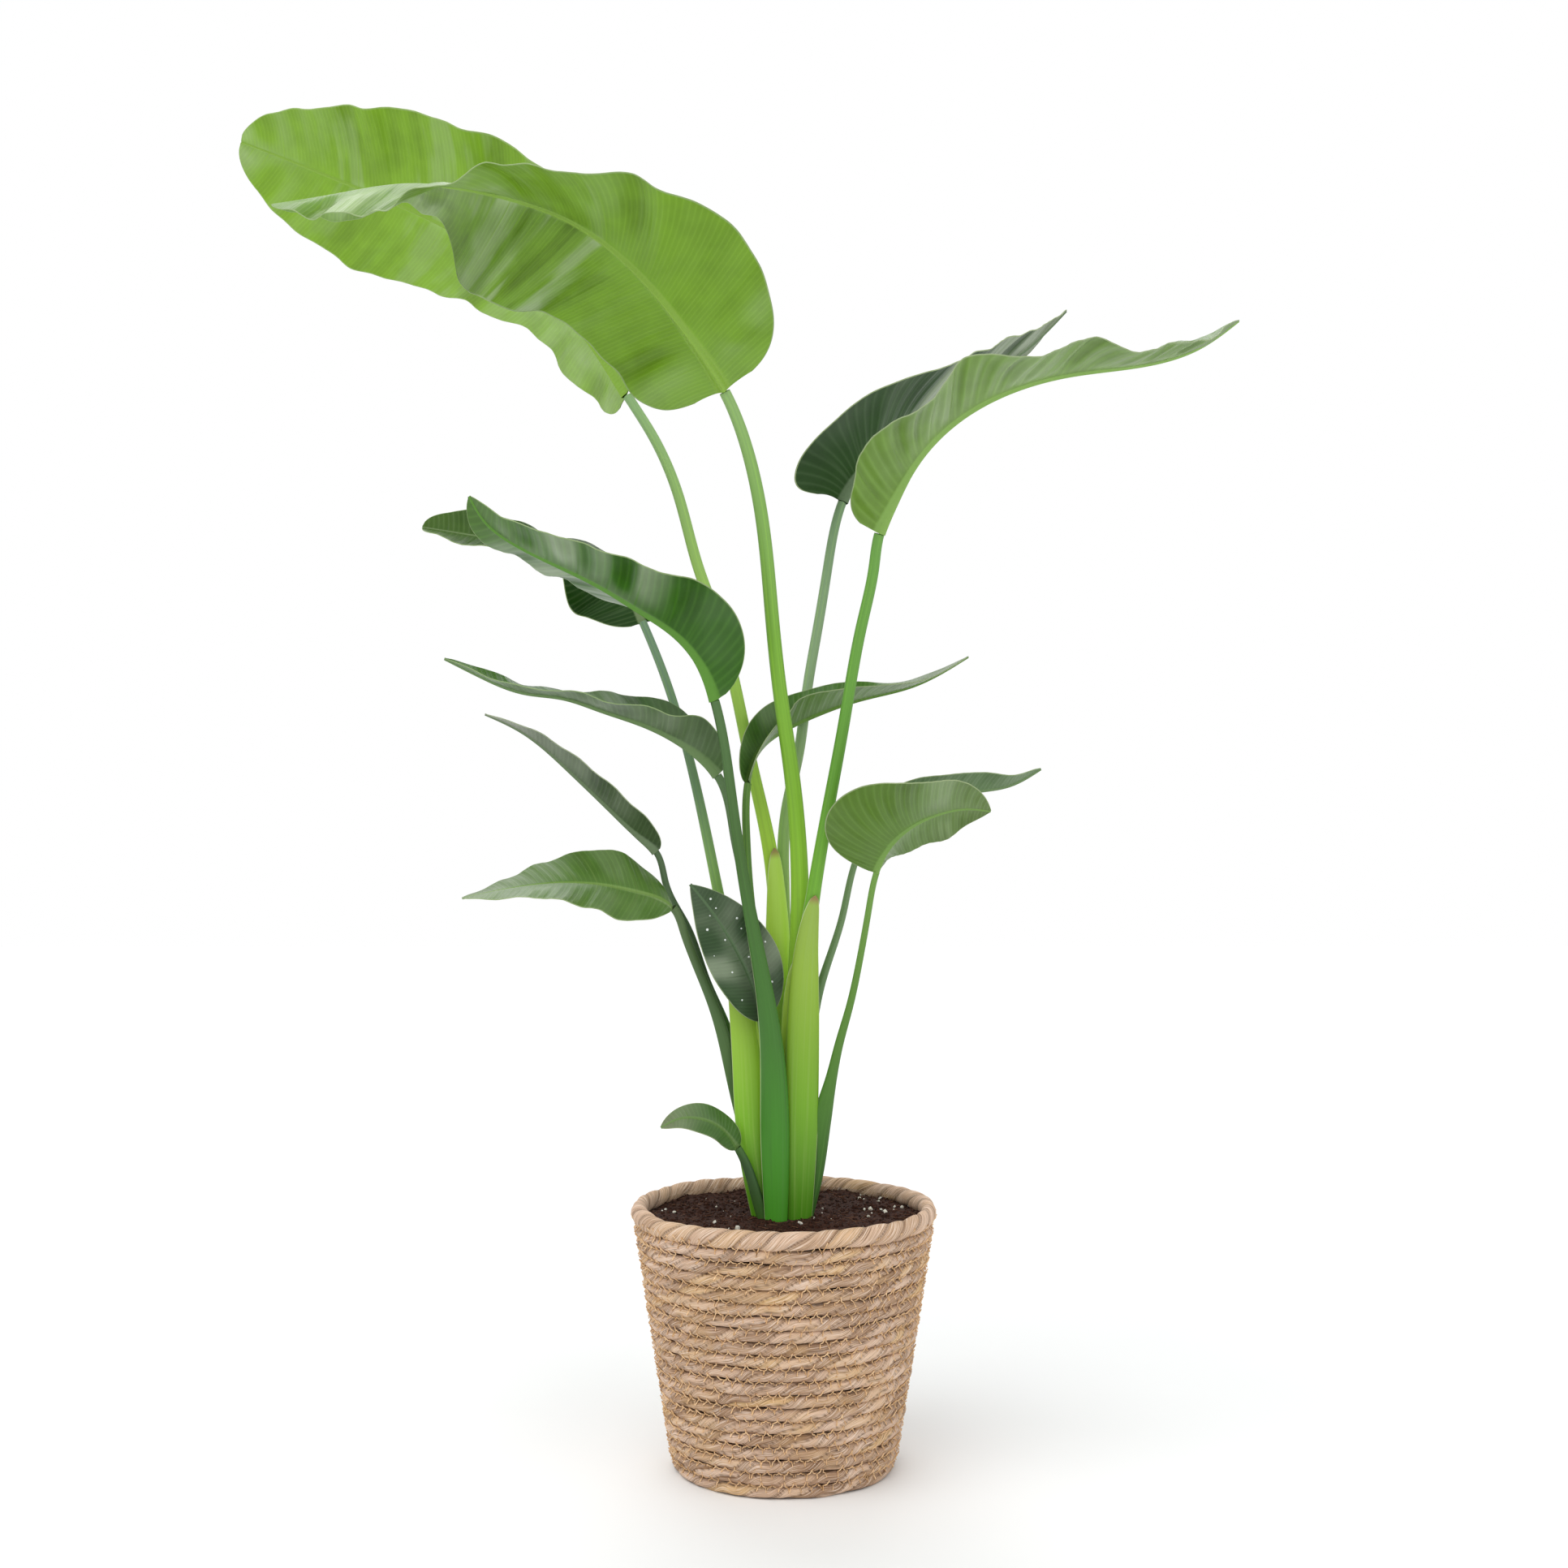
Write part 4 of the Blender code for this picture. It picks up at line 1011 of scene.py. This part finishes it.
def soil_height(x, y):
    """Top of the soil: a low mound with bumps of four sizes."""
    r = np.hypot(x - CROWN[0], y - CROWN[1])
    bump = 0.9 * np.sin(83 * x + 31 * y) + 0.8 * np.sin(57 * x - 91 * y + 2) \
        + 0.5 * np.sin(190 * x + 140 * y + 1) + 0.4 * np.sin(260 * y - 120 * x)
    return SOIL_Z + (0.6 + 2.6 * np.exp(-(r / (62 * MM)) ** 2) + 1.1 * bump) * MM


def lumps(name, places, sizes, material, draw):
    """Many small rough lumps as one mesh: each is a squashed, uneven ball."""
    rows, cols = 5, 6
    ball = []
    for k in range(rows):
        tilt = math.pi * k / (rows - 1)
        for j in range(cols):
            a = 2 * math.pi * (j + 0.5 * (k % 2)) / cols
            ball.append((math.sin(tilt) * math.cos(a), math.sin(tilt) * math.sin(a),
                         math.cos(tilt)))
    ball = np.array(ball)
    shape = grid_faces(rows, cols, wrap_cols=True)
    points, faces = [], []
    for i, (place, size) in enumerate(zip(places, sizes)):
        uneven = 1 + draw.normal(0, 0.22, (len(ball), 1))
        uneven[:cols], uneven[-cols:] = uneven[0], uneven[-1]
        turn = np.linalg.qr(draw.normal(size=(3, 3)))[0]
        points.append(place + size * (ball * uneven * draw.uniform(0.6, 1.1, 3)) @ turn)
        faces.append(shape + i * len(ball))
    obj = mesh_object(name, np.concatenate(points), np.concatenate(faces))
    obj.data.materials.append(material)
    return obj


def soil_body(draw, earth):
    """The plug of soil: its top, a shoulder behind the roll, the side and the floor."""
    rows, cols = ((90, 260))
    radius = np.linspace(0, 1, rows)[:, None] * SOIL_R
    turn = np.linspace(0, 2 * math.pi, cols + 1)
    x, y = radius * np.cos(turn), radius * np.sin(turn)
    z = soil_height(x, y) + draw.normal(0, 0.25 * MM, x.shape)
    z[0], z[:, -1] = z[0, 0], z[:, 0]
    foot = 11 * MM
    rings = [(SOIL_R - 5 * MM, SOIL_Z - 12 * MM),
             (wall_radius(12 * MM) - WALL_T - 3 * MM, foot), (0.0, foot)]
    under = [np.stack([r * np.cos(turn), r * np.sin(turn), np.full(cols + 1, height)], axis=-1)
             for r, height in rings]
    grid = np.concatenate([np.stack([x, y, z], axis=-1), np.array(under)])
    obj = mesh_object("soil_body", grid, grid_faces(rows + len(rings), cols + 1))
    obj.data.materials.append(earth)
    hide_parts("soil")
    return obj


def scatter(draw, count):
    """Places spread over the top of the soil."""
    r = SOIL_R * np.sqrt(draw.uniform(0.02, 0.96, count))
    a = draw.uniform(0, 2 * math.pi, count)
    x, y = r * np.cos(a), r * np.sin(a)
    return np.stack([x, y, soil_height(x, y)], axis=-1)


def soil_fibres(draw):
    """Short bent threads of coir that lie on the soil."""
    tubes = []
    f = np.linspace(-0.5, 0.5, THREAD[0])
    for p in scatter(draw, FIBRES):
        a, length = draw.uniform(0, 2 * math.pi), draw.uniform(4, 10) * MM
        bend = draw.uniform(-0.4, 0.4)
        path = np.stack([p[0] + length * f * math.cos(a) - bend * length * f ** 2 * math.sin(a),
                         p[1] + length * f * math.sin(a) + bend * length * f ** 2 * math.cos(a),
                         p[2] + 1.2 * MM + length * f * draw.uniform(-0.4, 0.4)], axis=-1)
        tubes.append(tube(path, draw.uniform(0.15, 0.3) * MM, THREAD[1]))
    coir = grain_material("coir", (0.07, 0.025, 0.012), (0.22, 0.11, 0.06), 200.0)
    return threads_object("soil_fibres", tubes, coir)


def soil():
    """The soil and all that lies on it."""
    draw = np.random.default_rng(5)
    earth = grain_material("potting_mix", (0.002, 0.001, 0.001), (0.070, 0.022, 0.010), 420.0)
    made = [soil_body(draw, earth)]
    crumbs = scatter(draw, CRUMBS)
    sizes = (0.5 + 2.4 * draw.random(len(crumbs)) ** 3) * MM
    made.append(lumps("soil_crumbs", crumbs, sizes, earth, draw))
    bits = scatter(draw, PERLITE)
    white = grain_material("perlite", (0.5, 0.47, 0.36), (0.85, 0.83, 0.76), 300.0)
    sizes = (0.4 + 2.4 * draw.random(len(bits)) ** 4) * MM
    made.append(lumps("perlite", bits + (0, 0, 0.8 * MM), sizes, white, draw))
    made.append(soil_fibres(draw))
    for piece in made:
        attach(piece, "root")


def crown():
    """The rootstock: a low rough cushion that the stalks stand in."""
    a, b = CROWN_R
    turn = np.linspace(0, 2 * math.pi, 49)
    rings = []
    for share, z in ((0.5, STALK_Z - CROWN_DEPTH), (0.9, STALK_Z - 0.5 * CROWN_DEPTH),
                     (0.97, STALK_Z - 6 * MM), (0.9, STALK_Z - 1.0 * MM),
                     (0.5, STALK_Z + 0.3 * MM), (0.02, STALK_Z + 0.6 * MM)):
        wave = 1 + 0.03 * np.sin(9 * turn + z * 700)
        rings.append(np.stack([CROWN[0] + a * share * wave * np.cos(turn),
                               CROWN[1] + b * share * wave * np.sin(turn),
                               np.full(len(turn), z)], axis=-1))
    obj = mesh_object("crown_body", np.array(rings), grid_faces(len(rings), len(turn), flip=True))
    obj.data.materials.append(
        grain_material("rootstock", (0.03, 0.018, 0.012), (0.09, 0.05, 0.03), 260.0))
    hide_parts("crown")
    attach(obj, "root")


# ---------------------------------------------------------------- small things on the plant


def droplets():
    """Water drops that stand on the leaf in the middle of the clump."""
    leaf = LEAVES["centre_dewy"]
    rows, cols = 7, 12
    draw = np.random.default_rng(3)
    spots = ((0.10, 0.35), (0.17, -0.5), (0.24, 0.62), (0.32, 0.2), (0.36, -0.35), (0.42, 0.75),
             (0.47, -0.68), (0.53, 0.42), (0.58, -0.2), (0.64, 0.6), (0.70, -0.55), (0.76, 0.25),
             (0.83, -0.3), (0.88, 0.4))
    points, faces = [], []
    for i, (s, v) in enumerate(spots):
        s, v = s + draw.normal(0, 0.025), np.clip(v + draw.normal(0, 0.09), -0.9, 0.9)
        p, n, _ = blade_surface(leaf, np.array([s]), np.array([-1.0, 0.0, 1.0, v]))
        base, up = p[0, 3], n[0, 3] / np.linalg.norm(n[0, 3])
        if up[1] > 0:
            up, base = -up, base - up * 0.8 * MM
        side = np.cross(up, (0, 0, 1.0))
        side /= np.linalg.norm(side)
        other = np.cross(up, side)
        size = draw.uniform(0.5, 1.3) * MM
        for k in range(rows):
            lift = math.pi / 2 * k / (rows - 1)
            for j in range(cols):
                a = 2 * math.pi * j / cols
                points.append(base + size * (math.cos(lift) * (math.cos(a) * side
                              + math.sin(a) * other) + 0.65 * math.sin(lift) * up))
        faces.append(grid_faces(rows, cols, wrap_cols=True, start=rows * cols * i))
    obj = mesh_object("dew_drops", np.array(points), np.concatenate(faces))
    m = Shade("dew")
    tone = m.noise(m.place(), 900.0, 1.0)
    # The drops are painted near white, a painted glint on what is clear water.
    colour = m.ramp(tone, ((0.2, (0.72, 0.80, 0.74)), (0.8, (0.93, 0.96, 0.94))))
    obj.data.materials.append(m.finish(colour, 0.08, 0.8))
    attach(obj, "root")


# ---------------------------------------------------------------- stage


def sky(scene):
    """A white world: full white to the camera, dimmer as a light."""
    world = bpy.data.worlds.new("studio")
    scene.world = world
    world.use_nodes = True
    tree = world.node_tree
    lit, seen = tree.nodes["Background"], tree.nodes.new("ShaderNodeBackground")
    for background, strength in ((lit, SKY), (seen, 1.0)):
        background.inputs["Color"].default_value = (1.0, 1.0, 1.0, 1.0)
        background.inputs["Strength"].default_value = strength
    pick, ray = tree.nodes.new("ShaderNodeMixShader"), tree.nodes.new("ShaderNodeLightPath")
    tree.links.new(ray.outputs["Is Camera Ray"], pick.inputs[0])
    tree.links.new(lit.outputs[0], pick.inputs[1])
    tree.links.new(seen.outputs[0], pick.inputs[2])
    tree.links.new(pick.outputs[0], tree.nodes["World Output"].inputs[0])


def floor():
    """A pale floor, wide enough to look endless."""
    e = FLOOR_HALF
    obj = mesh_object("floor", [(-e, -e, 0), (e, -e, 0), (e, e, 0), (-e, e, 0)],
                      np.array([[0, 1, 2, 3]]))
    m = Shade("floor_paint")
    tone = m.noise(m.place(), 3.0, 2.0)
    paint = m.ramp(tone, ((0.0, (0.86, 0.87, 0.87)), (1.0, (0.90, 0.91, 0.91))))
    obj.data.materials.append(m.finish(paint, 0.7, 0.2))


def stage():
    """Sky, floor, lamps and camera."""
    scene = bpy.context.scene
    scene.view_settings.view_transform = "Standard"
    sky(scene)
    floor()
    for name, (aim, strength, spread) in LAMPS.items():
        light = bpy.data.lights.new(name, "SUN")
        light.energy = strength
        light.angle = math.radians(spread)
        lamp = bpy.data.objects.new(name, light)
        lamp.rotation_euler = look_along(np.array(aim))
        scene.collection.objects.link(lamp)
    data = bpy.data.cameras.new("camera")
    data.lens, data.sensor_width = CAMERA_LENS, CAMERA_SENSOR
    camera = bpy.data.objects.new("camera", data)
    camera.location = CAMERA_AT
    camera.rotation_euler = (math.pi / 2, 0.0, 0.0)
    scene.collection.objects.link(camera)
    scene.camera = camera


def look_along(aim):
    """Rotation of a lamp whose -Z runs along aim."""
    aim = aim / np.linalg.norm(aim)
    return (math.acos(-aim[2]), 0.0, math.atan2(aim[1], aim[0]) - math.pi / 2)


def main():
    for name, leaf in LEAVES.items():
        look = LOOKS[name]
        slot = "young_leaf" if name.startswith("top") else "leaf"
        for piece, node, kind in ((blade(name, leaf, look), f"blade_{name}", slot),
                                  (stalk(name, leaf, look), f"stalk_{name}", "stalk")):
            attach(piece, "root")
            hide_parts(node)
    for name, (top, aim, spread, fuller, tone) in SHEATHS.items():
        sheath(name, LEAVES[name], top, aim, spread, fuller, tone)
    basket()
    soil()
    crown()
    droplets()
    stage()


main()
